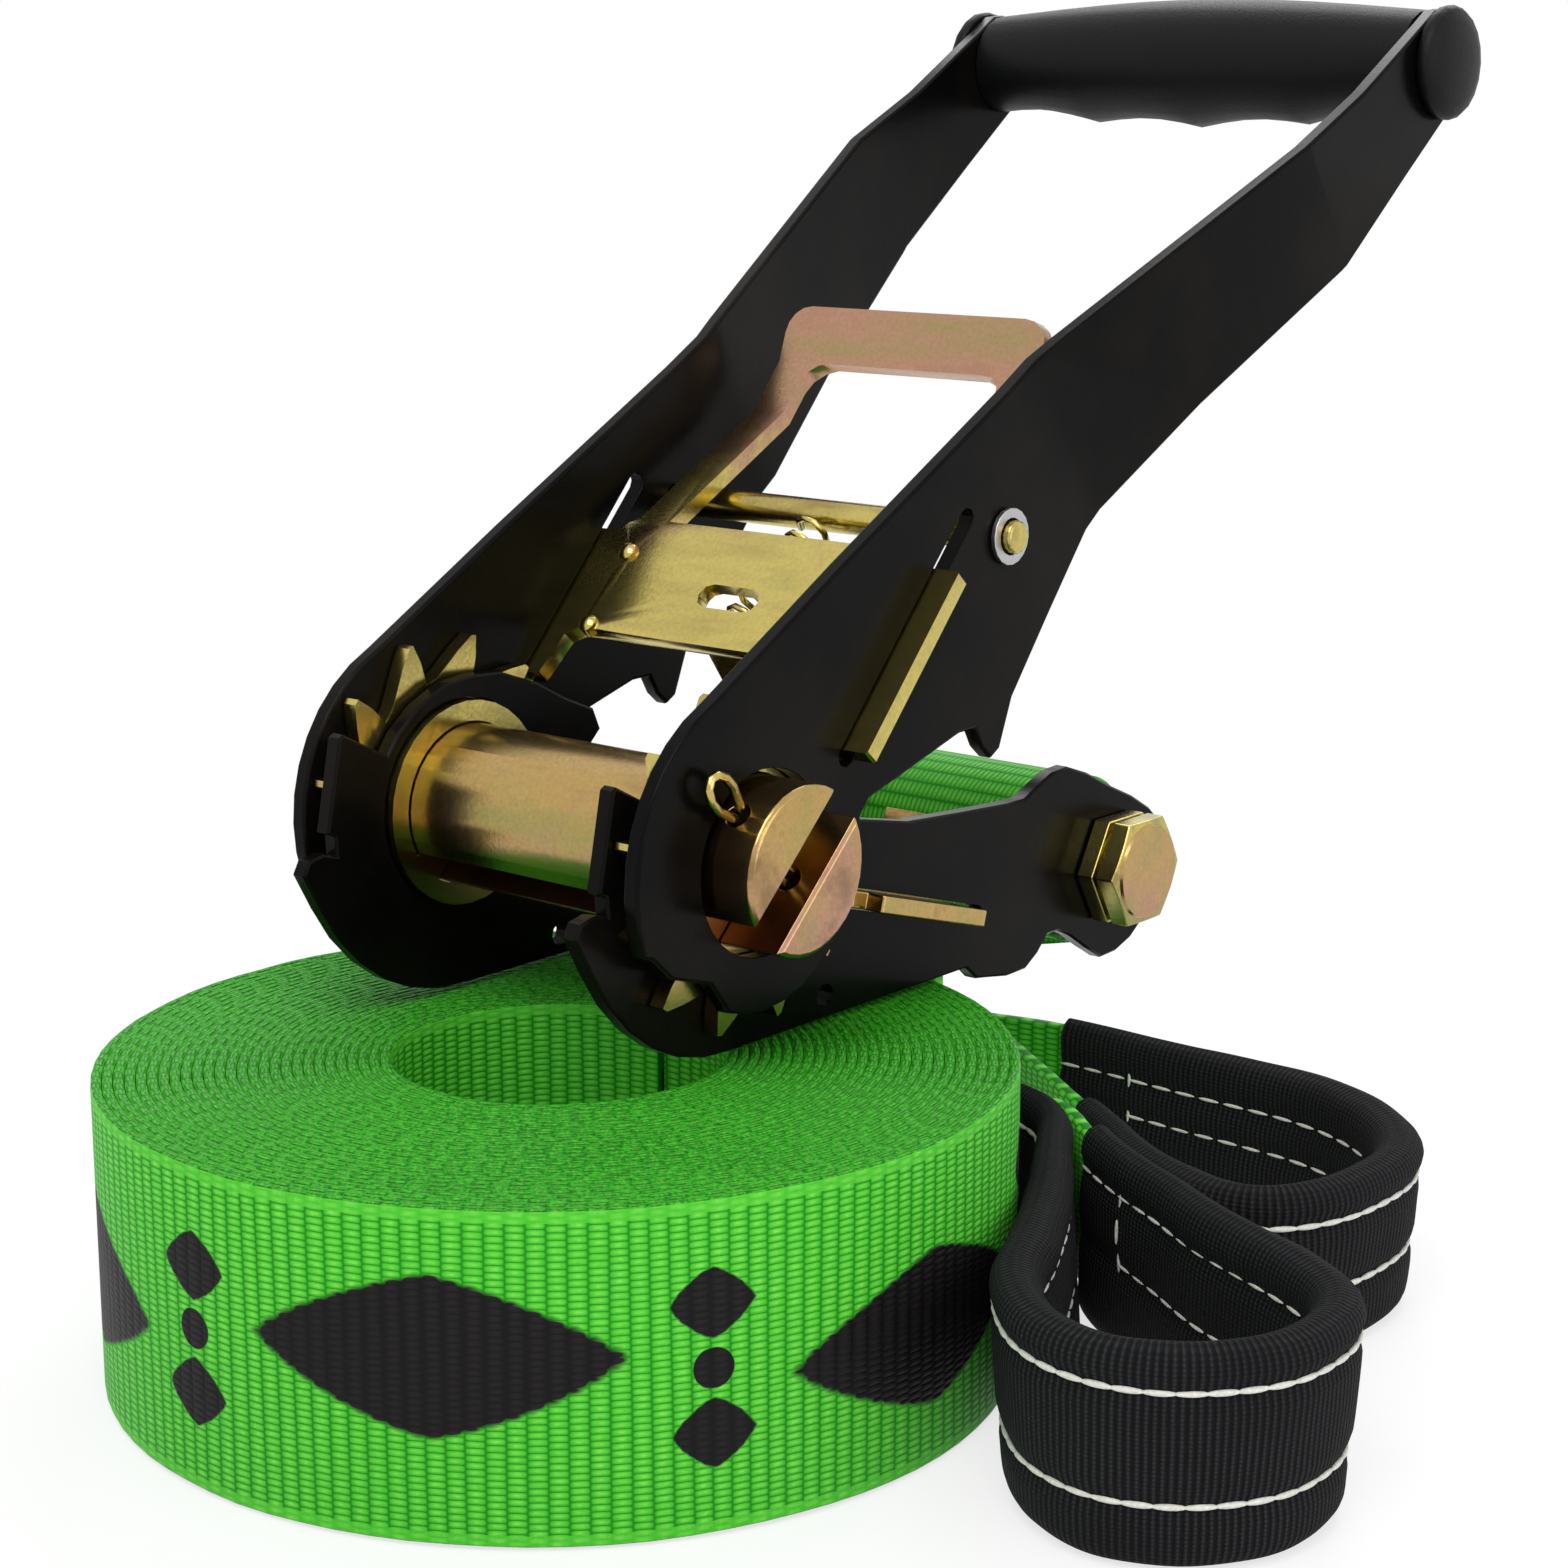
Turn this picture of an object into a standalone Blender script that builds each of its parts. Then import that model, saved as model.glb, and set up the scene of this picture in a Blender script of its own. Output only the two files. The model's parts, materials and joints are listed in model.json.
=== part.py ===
"""Slackline: a rolled-up webbing line with a padded eye, and a long-handled ratchet on its short strap.

The line stands on its edge as a flat roll. The ratchet lies across the top of the roll, and both padded
eyes stand on their edges beside it. Everything is in metres with +Z up, and the finished part stands on
z = 0 with the origin below the middle of its box.
"""
import bpy
import bmesh
import numpy as np
from math import sin, cos, tan, atan2, hypot, pi, radians, sqrt
from mathutils import Matrix, Vector

MM = 0.001

# Fits and gaps
TOUCH_GAP = 0.3 * MM
RUN_GAP = 0.4 * MM
CUT_OVERRUN = 2.0 * MM
EDGE_CHAMFER = 0.4 * MM

# Webbing and its roll
WEB_WIDTH = 50.0 * MM
WEB_THICKNESS = 1.45 * MM
TURN_GAP = 0.45 * MM
ROLL_TURNS = 24
POINTS_PER_TURN = 24
ROLL_BORE_RADIUS = 25.2 * MM
ROLL_END_ANGLE = radians(54.0)

# Webbing folded in half along its length, and the padded sleeves on it
FOLD_WIDTH = 26.0 * MM
FOLD_THICKNESS = 2.7 * MM
FOLD_LIFT = 3.5 * MM
REAR_FOLD_LIFT = 1.5 * MM
FOLD_START_SHARE = 0.10
SLEEVE_HEIGHT = 33.0 * MM
REAR_SLEEVE_HEIGHT = 29.0 * MM
SLEEVE_THICKNESS = 8.0 * MM
SLEEVE_END_THICKNESS = 5.6 * MM
SLEEVE_TAPER_SHARE = 0.30
SLEEVE_CORNER = 2.6 * MM
PATH_STEP = 5.0 * MM
EYE_LEAN = 0.08
FRONT_SIDE = 1.0
LEAN_START_SHARE = 0.13
LEAN_TAPER_SHARE = 0.18

# Front eye: its line in plan from the roll, round the eye and back to where it is sewn down
EYE_REACH = 80.0 * MM
FRONT_EYE_SHARES = (
    (0.735, 0.580), (0.840, 0.510), (0.925, 0.435), (0.978, 0.345), (0.992, 0.250), (0.979, 0.120),
    (0.957, -0.062), (0.932, -0.225), (0.892, -0.412), (0.850, -0.600), (0.872, -0.790), (0.960, -0.917),
    (1.090, -0.966), (1.215, -0.950), (1.309, -0.897), (1.392, -0.785), (1.410, -0.675), (1.368, -0.546),
    (1.300, -0.415), (1.244, -0.310), (1.182, -0.152), (1.120, -0.003), (1.081, 0.117), (1.068, 0.210),
    (1.056, 0.300), (1.036, 0.396), (0.990, 0.480), (0.913, 0.554),
)
FRONT_SLEEVE_SHARES = (0.122, 0.886)

# Rear eye on the ratchet's strap, in plan from the end of the strap's neck
REAR_EYE_SHARES = (
    (0.860, 1.193), (0.909, 1.160), (0.965, 1.132), (1.032, 1.098), (1.102, 1.050), (1.185, 0.982),
    (1.270, 0.905), (1.365, 0.825), (1.465, 0.746), (1.562, 0.661), (1.641, 0.556), (1.692, 0.430),
    (1.708, 0.305), (1.682, 0.185), (1.613, 0.078), (1.525, -0.012), (1.432, -0.062), (1.350, -0.065),
    (1.280, -0.022), (1.224, 0.060), (1.180, 0.150), (1.148, 0.240), (1.126, 0.335), (1.098, 0.435),
    (1.060, 0.560), (1.024, 0.700), (0.988, 0.830), (0.955, 0.950), (0.925, 1.040), (0.900, 1.085),
)
REAR_SLEEVE_SHARES = (0.105, 0.800)

# Where the ratchet lies on the roll, and the handle's angle above the frame
RATCHET_X = 3.8 * MM
RATCHET_Y = 16.7 * MM
RATCHET_YAW = radians(50.0)
HANDLE_ANGLE = radians(35.3)

# Ratchet frame
PLATE_THICKNESS = 3.0 * MM
FRAME_SIDE_PLAY = 2.8 * MM
FRAME_INNER = WEB_WIDTH + 2 * FRAME_SIDE_PLAY
FRAME_DROP = 31.0 * MM
FRAME_NOSE = 35.2 * MM
TAIL_REACH = 102.5 * MM
TAIL_DROP = 20.9 * MM
TAIL_RADIUS = 17.0 * MM
LOOK_HOLE_RADIUS = 2.0 * MM
NOSE_ARC_POINTS = 8
NOSE_TOP_SHARES = (
    (0.898, 0.003), (0.880, 0.131), (0.949, 0.196), (0.900, 0.305), (0.704, 0.388), (0.514, 0.489),
    (0.276, 0.574), (0.080, 0.585), (-0.102, 0.563), (-0.270, 0.483), (-0.398, 0.378),
    (-0.462, 0.292), (-0.722, 0.430), (-0.748, 0.415), (-0.836, -0.006), (-0.790, -0.030),
    (-0.785, -0.116), (-0.865, -0.094), (-0.950, -0.112),
)
TAIL_TOP_SHARES = (
    (1.125, 0.610), (1.070, 0.459), (0.991, 0.292), (0.930, 0.144), (0.870, 0.043), (0.826, 0.057),
    (0.783, 0.134), (0.749, 0.210), (0.699, 0.210), (0.561, 0.167), (0.430, 0.120),
)
TAIL_FOOT_SHARES = (
    (0.590, 1.000), (0.618, 1.080), (0.650, 1.097), (0.706, 1.129), (0.758, 1.126), (0.792, 1.061),
    (0.820, 0.971), (0.850, 0.968), (0.886, 1.023), (0.936, 1.129),
)
LOOK_HOLE_SHARES = (0.22, 0.88)

# Drum of two half-round bars, with a toothed wheel outside each frame plate
DRUM_RADIUS = 13.3 * MM
DRUM_SLOT = 7.0 * MM
DRUM_SLOT_ANGLE = radians(44.0)
DRUM_PROUD = 8.6 * MM
DRUM_CHAMFER = 0.6 * MM
WHEEL_THICKNESS = 2.8 * MM
WHEEL_TIP_RADIUS = 27.3 * MM
WHEEL_ROOT_RADIUS = 20.0 * MM
WHEEL_TEETH = 12
WHEEL_PHASE = radians(42.0)
TOOTH_SHARES = ((0.00, 0.0), (0.03, 0.55), (0.09, 1.0), (0.16, 0.98), (0.36, 0.62), (0.60, 0.25), (0.80, 0.05))
HUB_RADIUS = 17.0 * MM
HUB_PROUD = 1.5 * MM
ROUND_SIDES = 32

# Cotter pins that keep the drum in place
COTTER_WIRE_RADIUS = 0.8 * MM
COTTER_LEG_GAP = 0.3 * MM
COTTER_EYE_RADIUS = 2.4 * MM
COTTER_EYE_REACH = 3.8 * MM
COTTER_OVERHANG = 4.0 * MM
COTTER_FOOT = 4.5 * MM
COTTER_EYE_MOUTH = radians(42.0)

# Tail bolt, its spacer, and the strap wrapped round it
BOLT_RADIUS = 5.0 * MM
HEX_ACROSS_FLATS = 18.3 * MM
HEAD_HEIGHT = 7.8 * MM
HEAD_GROOVE = 0.8 * MM
HEAD_GROOVE_SHARE = 0.42
HEAD_GROOVE_DEPTH = 1.4 * MM
HEAD_BEVEL = 1.0 * MM
NUT_HEIGHT = 8.0 * MM
BOLT_PROUD = 3.0 * MM
WASHER_THICKNESS = 1.2 * MM
WASHER_RADIUS = 9.0 * MM
SPACER_RADIUS = 11.8 * MM
STRAP_WRAP = 3.0 * MM
STRAP_NECK = 3.2 * MM
NECK_SHARE = 0.70
NECK_GATHER = 9.0 * MM

# Handle
HANDLE_REACH = 211.0 * MM
GRIP_DROP = 4.0 * MM
HANDLE_END_RADIUS = 28.6 * MM
HANDLE_LOBE_RADIUS = 23.4 * MM
HANDLE_BORE = 14.6 * MM
HANDLE_SPLAY = 13.4 * MM
GRIP_END_RADIUS = 9.6 * MM
FIRST_BEND_SHARE = 0.462
SECOND_BEND_SHARE = 0.785
HANDLE_TOP_SHARES = ((0.880, 0.259), (0.788, 0.375), (0.488, 0.625), (0.417, 0.668), (0.190, 0.860))
HANDLE_NOTCH_SHARES = ((-0.125, 0.23), (-0.119, 0.03), (-0.093, -0.22))
HANDLE_FOOT_SHARES = (
    (0.114, -0.357), (0.147, -0.445), (0.223, -0.640), (0.239, -0.720), (0.237, -0.860),
    (0.241, -0.975), (0.254, -0.985), (0.289, -0.820), (0.362, -0.662), (0.438, -0.507),
    (0.592, -0.476), (0.777, -0.528), (0.900, -0.492),
)
END_ARC_POINTS = 10
LOBE_ARC_POINTS = 12

# Handle pin with its riveted ends
HANDLE_PIN_RADIUS = 2.75 * MM
HANDLE_PIN_ALONG = 74.5 * MM
HANDLE_PIN_DROP = -0.2 * MM
PIN_WASHER_RADIUS = 4.7 * MM
PIN_WASHER_THICKNESS = 0.9 * MM
PIN_PROUD = 1.2 * MM

# Grip
GRIP_BAR_RADIUS = 4.0 * MM
GRIP_RADIUS = 9.4 * MM
GRIP_BULGE = 2.6 * MM
FINGER_DEPTH = 1.5 * MM
FINGER_COUNT = 4
FINGER_ANGLE = radians(-112.0)
GRIP_AROUND = 20
GRIP_ALONG = 20
CAP_RADIUS = 10.2 * MM
CAP_LENGTH = 4.2 * MM
CAP_SOCKET = 2.0 * MM

# Handle pawl: a slotted plate with a pull loop that slides in slots of the handle plates
PAWL_THICKNESS = 2.8 * MM
PAWL_SLOPE = radians(12.5)
PAWL_DROP = 5.4 * MM
PAWL_TRAVEL = 10.5 * MM
PAWL_TOE_GAP = 0.7 * MM
PAWL_EAR_PROUD = 4.8 * MM
PAWL_EAR_LENGTH = 30.0 * MM
PAWL_EAR_HEEL = 4.5 * MM
PAWL_WAIST = 10.0 * MM
PAWL_TOE_WIDTH = 3.4 * MM
PAWL_ARM = 6.8 * MM
PULL_LOOP_HALF_WIDTH = 28.3 * MM
PULL_CORNER = 5.0 * MM
PULL_ARM_LENGTH = 35.8 * MM
PULL_RAMP_LENGTH = 11.5 * MM
PULL_BAR_WIDTH = 10.5 * MM
PULL_ANGLES = (radians(-7.0), radians(14.0), radians(36.0))
PAWL_WINDOW = 13.0 * MM
PAWL_WINDOW_SHARE = 0.65
PAWL_WINDOW_WIDTH = 4.6 * MM
PAWL_TONGUE = 12.0 * MM
PAWL_TONGUE_WIDTH = 9.0 * MM
STUD_RADIUS = 1.7 * MM
STUD_HEIGHT = 1.3 * MM
STUD_SHARES = (0.36, 0.86)
SLOT_CLEARANCE = 0.35 * MM

# Frame pawl: a flat plate that slides in slots of the frame plates
FRAME_PAWL_SLOPE = radians(-16.2)
FRAME_PAWL_DROP = 3.8 * MM
FRAME_PAWL_TRAVEL = 6.0 * MM
FRAME_PAWL_LENGTH = 32.5 * MM
FRAME_EAR_PROUD = 6.6 * MM
FRAME_EAR_LENGTH = 29.0 * MM
FRAME_PAWL_WAIST = 4.0 * MM

# Springs
SPRING_WIRE_RADIUS = 0.6 * MM
HANDLE_SPRING_RADIUS = 3.4 * MM
HANDLE_SPRING_TURNS = 7
FRAME_SPRING_RADIUS = 3.6 * MM
FRAME_SPRING_TURNS = 6
POINTS_PER_CURL = 9
SADDLE_THICKNESS = 1.5 * MM
SADDLE_WIDTH = 16.0 * MM
SADDLE_HALF_ANGLE = radians(26.0)

# Levels across the ratchet, from its middle plane out
FRAME_IN = FRAME_INNER / 2
FRAME_OUT = FRAME_IN + PLATE_THICKNESS
WHEEL_IN = FRAME_OUT + RUN_GAP
WHEEL_OUT = WHEEL_IN + WHEEL_THICKNESS
HANDLE_IN = WHEEL_OUT + RUN_GAP
HANDLE_OUT = HANDLE_IN + PLATE_THICKNESS
GRIP_IN = HANDLE_IN + HANDLE_SPLAY
GRIP_OUT = GRIP_IN + PLATE_THICKNESS
DRUM_END = HANDLE_OUT + DRUM_PROUD
DRUM_HEIGHT = WEB_WIDTH + TOUCH_GAP + FRAME_DROP


def clear_scene():
    for item in list(bpy.data.objects):
        bpy.data.objects.remove(item, do_unlink=True)


def material(name, colour, roughness, metallic):
    made = bpy.data.materials.new(name)
    made.use_nodes = True
    shader = made.node_tree.nodes["Principled BSDF"]
    shader.inputs["Base Color"].default_value = (*colour, 1.0)
    shader.inputs["Roughness"].default_value = roughness
    shader.inputs["Metallic"].default_value = metallic
    return made


def empty(name, matrix, parent=None):
    made = bpy.data.objects.new(name, None)
    bpy.context.collection.objects.link(made)
    made.parent = parent
    made.matrix_local = matrix
    return made


def solid(name, bm, finish, parent):
    """Make an object from a bmesh whose faces are turned outwards, under an empty."""
    bmesh.ops.recalc_face_normals(bm, faces=bm.faces)
    if bm.calc_volume(signed=True) < 0.0:
        bmesh.ops.reverse_faces(bm, faces=bm.faces)
    mesh = bpy.data.meshes.new(name)
    bm.to_mesh(mesh)
    bm.free()
    mesh.shade_smooth()
    mesh.set_sharp_from_angle(angle=radians(35.0))
    made = bpy.data.objects.new(name, mesh)
    bpy.context.collection.objects.link(made)
    made.data.materials.append(finish)
    made.parent = parent
    return made


def helper(name, bm, parent):
    made = solid(name, bm, bpy.data.materials[0], parent)
    made.hide_render = True
    made.display_type = 'WIRE'
    return made


def boolean(target, other, operation):
    step = target.modifiers.new(other.name, 'BOOLEAN')
    step.operation = operation
    step.solver = 'EXACT'
    step.object = other


def arc(centre, radius, start, end, count):
    """Points on an arc in the plane, with both ends."""
    angles = [start + (end - start) * k / (count - 1) for k in range(count)]
    return [(centre[0] + radius * cos(a), centre[1] + radius * sin(a)) for a in angles]


def circle(centre, radius, sides=ROUND_SIDES):
    return arc(centre, radius, 0.0, 2 * pi, sides + 1)[:-1]


def slot_loop(start, end, width, sides=5):
    """A slot with round ends, from the centre of one end's arc to the other's."""
    angle = atan2(end[1] - start[1], end[0] - start[0])
    half = width / 2
    return (arc(start, half, angle + pi / 2, angle + 3 * pi / 2, sides)
            + arc(end, half, angle - pi / 2, angle + pi / 2, sides))


def signed_area(loop):
    return sum(a[0] * b[1] - b[0] * a[1] for a, b in zip(loop, loop[1:] + loop[:1])) / 2


def inset(loop, depth):
    """Move a closed outline inwards by a small depth, with mitred corners."""
    turn = 1.0 if signed_area(loop) > 0 else -1.0
    moved = []
    for before, here, after in zip(loop[-1:] + loop[:-1], loop, loop[1:] + loop[:1]):
        one = Vector((here[0] - before[0], here[1] - before[1])).normalized()
        two = Vector((after[0] - here[0], after[1] - here[1])).normalized()
        normal_one = Vector((-one.y, one.x)) * turn
        normal_two = Vector((-two.y, two.x)) * turn
        shift = (normal_one + normal_two) * (depth / max(1.0 + normal_one.dot(normal_two), 0.5))
        moved.append((here[0] + shift.x, here[1] + shift.y))
    return moved


def plate_bmesh(outline, holes, low, high, chamfer=EDGE_CHAMFER):
    """Extrude an outline in X and Z along Y, with holes through it and chamfered outer edges."""
    bm = bmesh.new()
    levels = [(low, outline, chamfer), (low + chamfer, outline, 0.0),
              (high - chamfer, outline, 0.0), (high, outline, chamfer)]
    if chamfer == 0.0:
        levels = [levels[0], levels[-1]]
    rings = []
    for y, loop, depth in levels:
        points = inset(loop, depth) if depth else loop
        rings.append([bm.verts.new((x, y, z)) for x, z in points])
    hole_rings = [[[bm.verts.new((x, y, z)) for x, z in hole] for y in (low, high)] for hole in holes]
    for ring_set in [rings] + hole_rings:
        for lower, upper in zip(ring_set, ring_set[1:]):
            for k in range(len(lower)):
                after = (k + 1) % len(lower)
                bm.faces.new((lower[k], lower[after], upper[after], upper[k]))
    for end in (0, -1):
        edges = []
        for ring in [rings[end]] + [hole[end] for hole in hole_rings]:
            edges += [bm.edges.get((a, b)) for a, b in zip(ring, ring[1:] + ring[:1])]
        bmesh.ops.triangle_fill(bm, use_beauty=True, edges=edges)
    return bm


def turned_bmesh(profile, sides=ROUND_SIDES):
    """Turn a closed profile of radius and Y round the Y axis; a radius of zero is a pole."""
    bm = bmesh.new()
    rings = []
    for radius, y in profile:
        if radius == 0.0:
            rings.append([bm.verts.new((0.0, y, 0.0))])
        else:
            rings.append([bm.verts.new((x, y, z)) for x, z in circle((0.0, 0.0), radius, sides)])
    pairs = list(zip(rings, rings[1:]))
    if len(rings[0]) > 1:
        pairs.append((rings[-1], rings[0]))
    for one, two in pairs:
        for k in range(sides):
            after = (k + 1) % sides
            corners = [one[k % len(one)], one[after % len(one)], two[after % len(two)], two[k % len(two)]]
            corners = list(dict.fromkeys(corners))
            if len(corners) > 2:
                bm.faces.new(corners)
    return bm


def moved(bm, x=0.0, y=0.0, z=0.0):
    bmesh.ops.translate(bm, verts=bm.verts, vec=(x, y, z))
    return bm


def smooth_line(points, step):
    """Even points along a smooth curve through the given points."""
    points = [Vector(p) for p in points]
    ends = [2 * points[0] - points[1]] + points + [2 * points[-1] - points[-2]]
    fine = []
    for a, b, c, d in zip(ends, ends[1:], ends[2:], ends[3:]):
        for k in range(16):
            t = k / 16
            fine.append(0.5 * (2 * b + (c - a) * t + (2 * a - 5 * b + 4 * c - d) * t ** 2
                               + (3 * b - a - 3 * c + d) * t ** 3))
    fine.append(points[-1])
    lengths = np.cumsum([0.0] + [(q - p).length for p, q in zip(fine, fine[1:])])
    count = max(int(round(lengths[-1] / step)), 4)
    places = np.linspace(0.0, lengths[-1], count + 1)
    table = np.array([tuple(p) for p in fine])
    return [Vector([float(np.interp(s, lengths, table[:, axis])) for axis in range(len(points[0]))])
            for s in places]


def side_normals(line):
    """The unit normal in plan at each point of a line."""
    normals = []
    for before, after in zip([line[0]] + line[:-1], line[1:] + [line[-1]]):
        along = Vector((after.x - before.x, after.y - before.y)).normalized()
        normals.append(Vector((-along.y, along.x)))
    return normals


def swept_bmesh(line, sections):
    """Sweep upright closed sections, each a list of offset and height, along a line in plan."""
    bm = bmesh.new()
    rings = []
    for point, normal, section in zip(line, side_normals(line), sections):
        rings.append([bm.verts.new((point.x + normal.x * across, point.y + normal.y * across, up))
                      for across, up in section])
    for one, two in zip(rings, rings[1:]):
        for k in range(len(one)):
            after = (k + 1) % len(one)
            bm.faces.new((one[k], one[after], two[after], two[k]))
    return bm, rings


def band(half, low, high):
    return [(-half, low), (half, low), (half, high), (-half, high)]


def round_band(half, low, high, corner):
    """A band's section with round corners."""
    inner = half - corner
    points = []
    for x, z, start in ((inner, low + corner, -pi / 2), (inner, high - corner, 0.0),
                        (-inner, high - corner, pi / 2), (-inner, low + corner, pi)):
        points += arc((x, z), corner, start, start + pi / 2, 3)
    return points


def webbing_roll(finish, parent):
    """The line itself: one strip wound in an even spiral, standing on its edge."""
    pitch = WEB_THICKNESS + TURN_GAP
    stations = ROLL_TURNS * POINTS_PER_TURN
    bm = bmesh.new()
    rings = []
    for k in range(stations + 1):
        angle = ROLL_END_ANGLE + 2 * pi * (stations - k) / POINTS_PER_TURN
        inner = ROLL_BORE_RADIUS + pitch * k / POINTS_PER_TURN
        ring = []
        for radius, height in ((inner, 0.0), (inner + WEB_THICKNESS, 0.0),
                               (inner + WEB_THICKNESS, WEB_WIDTH), (inner, WEB_WIDTH)):
            ring.append(bm.verts.new((radius * cos(angle), radius * sin(angle), height)))
        rings.append(ring)
    for one, two in zip(rings, rings[1:]):
        for k in range(4):
            after = (k + 1) % 4
            bm.faces.new((one[k], one[after], two[after], two[k]))
    bm.faces.new(rings[0])
    bm.faces.new(rings[-1])
    outer = [ring[1].co.copy() for ring in rings]
    inner = [ring[0].co.copy() for ring in rings]
    least = min((inner[k + POINTS_PER_TURN] - outer[k]).length * cos(pi / POINTS_PER_TURN)
                for k in range(stations - POINTS_PER_TURN))
    print("webbing roll: least gap between turns %.2f mm" % (least / MM))
    return solid("webbing_roll", bm, finish, parent)


def roll_outer_radius():
    return ROLL_BORE_RADIUS + (WEB_THICKNESS + TURN_GAP) * ROLL_TURNS + WEB_THICKNESS


def front_line():
    """The plan of the line's sewn end, from the roll's last point round the front eye."""
    middle = roll_outer_radius() - WEB_THICKNESS / 2
    start = Vector((middle * cos(ROLL_END_ANGLE), middle * sin(ROLL_END_ANGLE)))
    along = Vector((sin(ROLL_END_ANGLE), -cos(ROLL_END_ANGLE)))
    points = [start + along * TOUCH_GAP]
    points += [Vector((x * EYE_REACH, y * EYE_REACH)) for x, y in FRONT_EYE_SHARES]
    return smooth_line(points, PATH_STEP)


def rear_line(neck_end):
    points = [Vector(neck_end)]
    points += [Vector((x * EYE_REACH, y * EYE_REACH)) for x, y in REAR_EYE_SHARES]
    return smooth_line(points, PATH_STEP)


def leaning(section, lean, height):
    """Shift an upright section sideways in step with its depth below the sleeve's top."""
    return [(across + lean * (height - up), up) for across, up in section]


def leans(count, side):
    """How much each station of an eye leans, from none at its ends to the whole in the middle."""
    values = []
    for k in range(count):
        place = k / (count - 1)
        share = min((min(place, 1.0 - place) - LEAN_START_SHARE) / LEAN_TAPER_SHARE, 1.0)
        share = max(share, 0.0)
        values.append(side * EYE_LEAN * share * share * (3 - 2 * share))
    return values


def folded_webbing(name, line, start, lift, height, side, finish, parent):
    """A strip along a line in plan, folded in half; a start share lets it begin flat and at full width."""
    sections = []
    lean = leans(len(line), side)
    for k in range(len(line)):
        share = min(k / (start * (len(line) - 1)), 1.0) if start else 1.0
        share = share * share * (3 - 2 * share)
        low = lift * share
        high = WEB_WIDTH + (lift + FOLD_WIDTH - WEB_WIDTH) * share
        half = (WEB_THICKNESS + (FOLD_THICKNESS - WEB_THICKNESS) * share) / 2
        sections.append(leaning(band(half, low, high), lean[k], height))
    bm, rings = swept_bmesh(line, sections)
    bm.faces.new(rings[0])
    bm.faces.new(rings[-1])
    return solid(name, bm, finish, parent)


def padded_sleeve(name, line, shares, lift, height, side, finish, parent):
    """A padded tube with an open channel for the folded webbing, over part of its line."""
    lean = leans(len(line), side)
    first = int(round(shares[0] * (len(line) - 1)))
    last = int(round(shares[1] * (len(line) - 1)))
    part = line[first:last + 1]
    outer = []
    for k in range(len(part)):
        place = k / (len(part) - 1)
        share = min(place / SLEEVE_TAPER_SHARE, (1.0 - place) / SLEEVE_TAPER_SHARE, 1.0)
        share = share * share * (3 - 2 * share)
        half = (SLEEVE_END_THICKNESS + (SLEEVE_THICKNESS - SLEEVE_END_THICKNESS) * share) / 2
        outer.append(round_band(half, 0.0, height, SLEEVE_CORNER))
    inner = band(FOLD_THICKNESS / 2 + TOUCH_GAP, lift - TOUCH_GAP, lift + FOLD_WIDTH + TOUCH_GAP)
    normals = side_normals(line)[first:last + 1]
    bm = bmesh.new()
    tubes = []
    for sections in (outer, [inner] * len(part)):
        rings = [[bm.verts.new((p.x + n.x * across, p.y + n.y * across, up))
                  for across, up in leaning(section, slope, height)]
                 for p, n, slope, section in zip(part, normals, lean[first:last + 1], sections)]
        for one, two in zip(rings, rings[1:]):
            for k in range(len(one)):
                after = (k + 1) % len(one)
                bm.faces.new((one[k], one[after], two[after], two[k]))
        tubes.append(rings)
    for end in (0, -1):
        edges = []
        for rings in tubes:
            ring = rings[end]
            edges += [bm.edges.get((a, b)) for a, b in zip(ring, ring[1:] + ring[:1])]
        bmesh.ops.triangle_fill(bm, use_beauty=True, edges=edges)
    return solid(name, bm, finish, parent)


def frame_outline():
    """The frame plate seen from the side: drum axis at zero, tail bolt at +X."""
    nose = [(x * FRAME_NOSE, z * FRAME_NOSE) for x, z in NOSE_TOP_SHARES]
    belly = []
    for k in range(NOSE_ARC_POINTS):
        share = k / (NOSE_ARC_POINTS - 1)
        angle = radians(190.0) + radians(80.0) * share
        radius = FRAME_NOSE + (FRAME_DROP - FRAME_NOSE) * sqrt(share)
        belly.append((radius * cos(angle), radius * sin(angle)))
    foot = [(x * TAIL_REACH, -z * FRAME_DROP) for x, z in TAIL_FOOT_SHARES]
    tail = arc((TAIL_REACH, -TAIL_DROP), TAIL_RADIUS, radians(-96.0), radians(18.0), 8)
    top = [(x * TAIL_REACH, -z * TAIL_DROP) for x, z in TAIL_TOP_SHARES]
    return nose + belly + foot + tail + top


def along_frame_pawl(distance):
    """A point on the frame pawl's middle line, at a distance from the drum axis along it."""
    return (distance * cos(FRAME_PAWL_SLOPE) + FRAME_PAWL_DROP * sin(FRAME_PAWL_SLOPE),
            distance * sin(FRAME_PAWL_SLOPE) - FRAME_PAWL_DROP * cos(FRAME_PAWL_SLOPE))


def toe_distance(drop, gap):
    """How far along a pawl's line its toe stands clear of the circle of the tooth tips."""
    clear = WHEEL_TIP_RADIUS + gap
    return sqrt(clear ** 2 - max(drop - PAWL_THICKNESS / 2, 0.0) ** 2)


def frame_pawl_toe():
    return toe_distance(FRAME_PAWL_DROP, PAWL_TOE_GAP)


def pawl_toe():
    return toe_distance(PAWL_DROP, PAWL_TOE_GAP)


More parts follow.
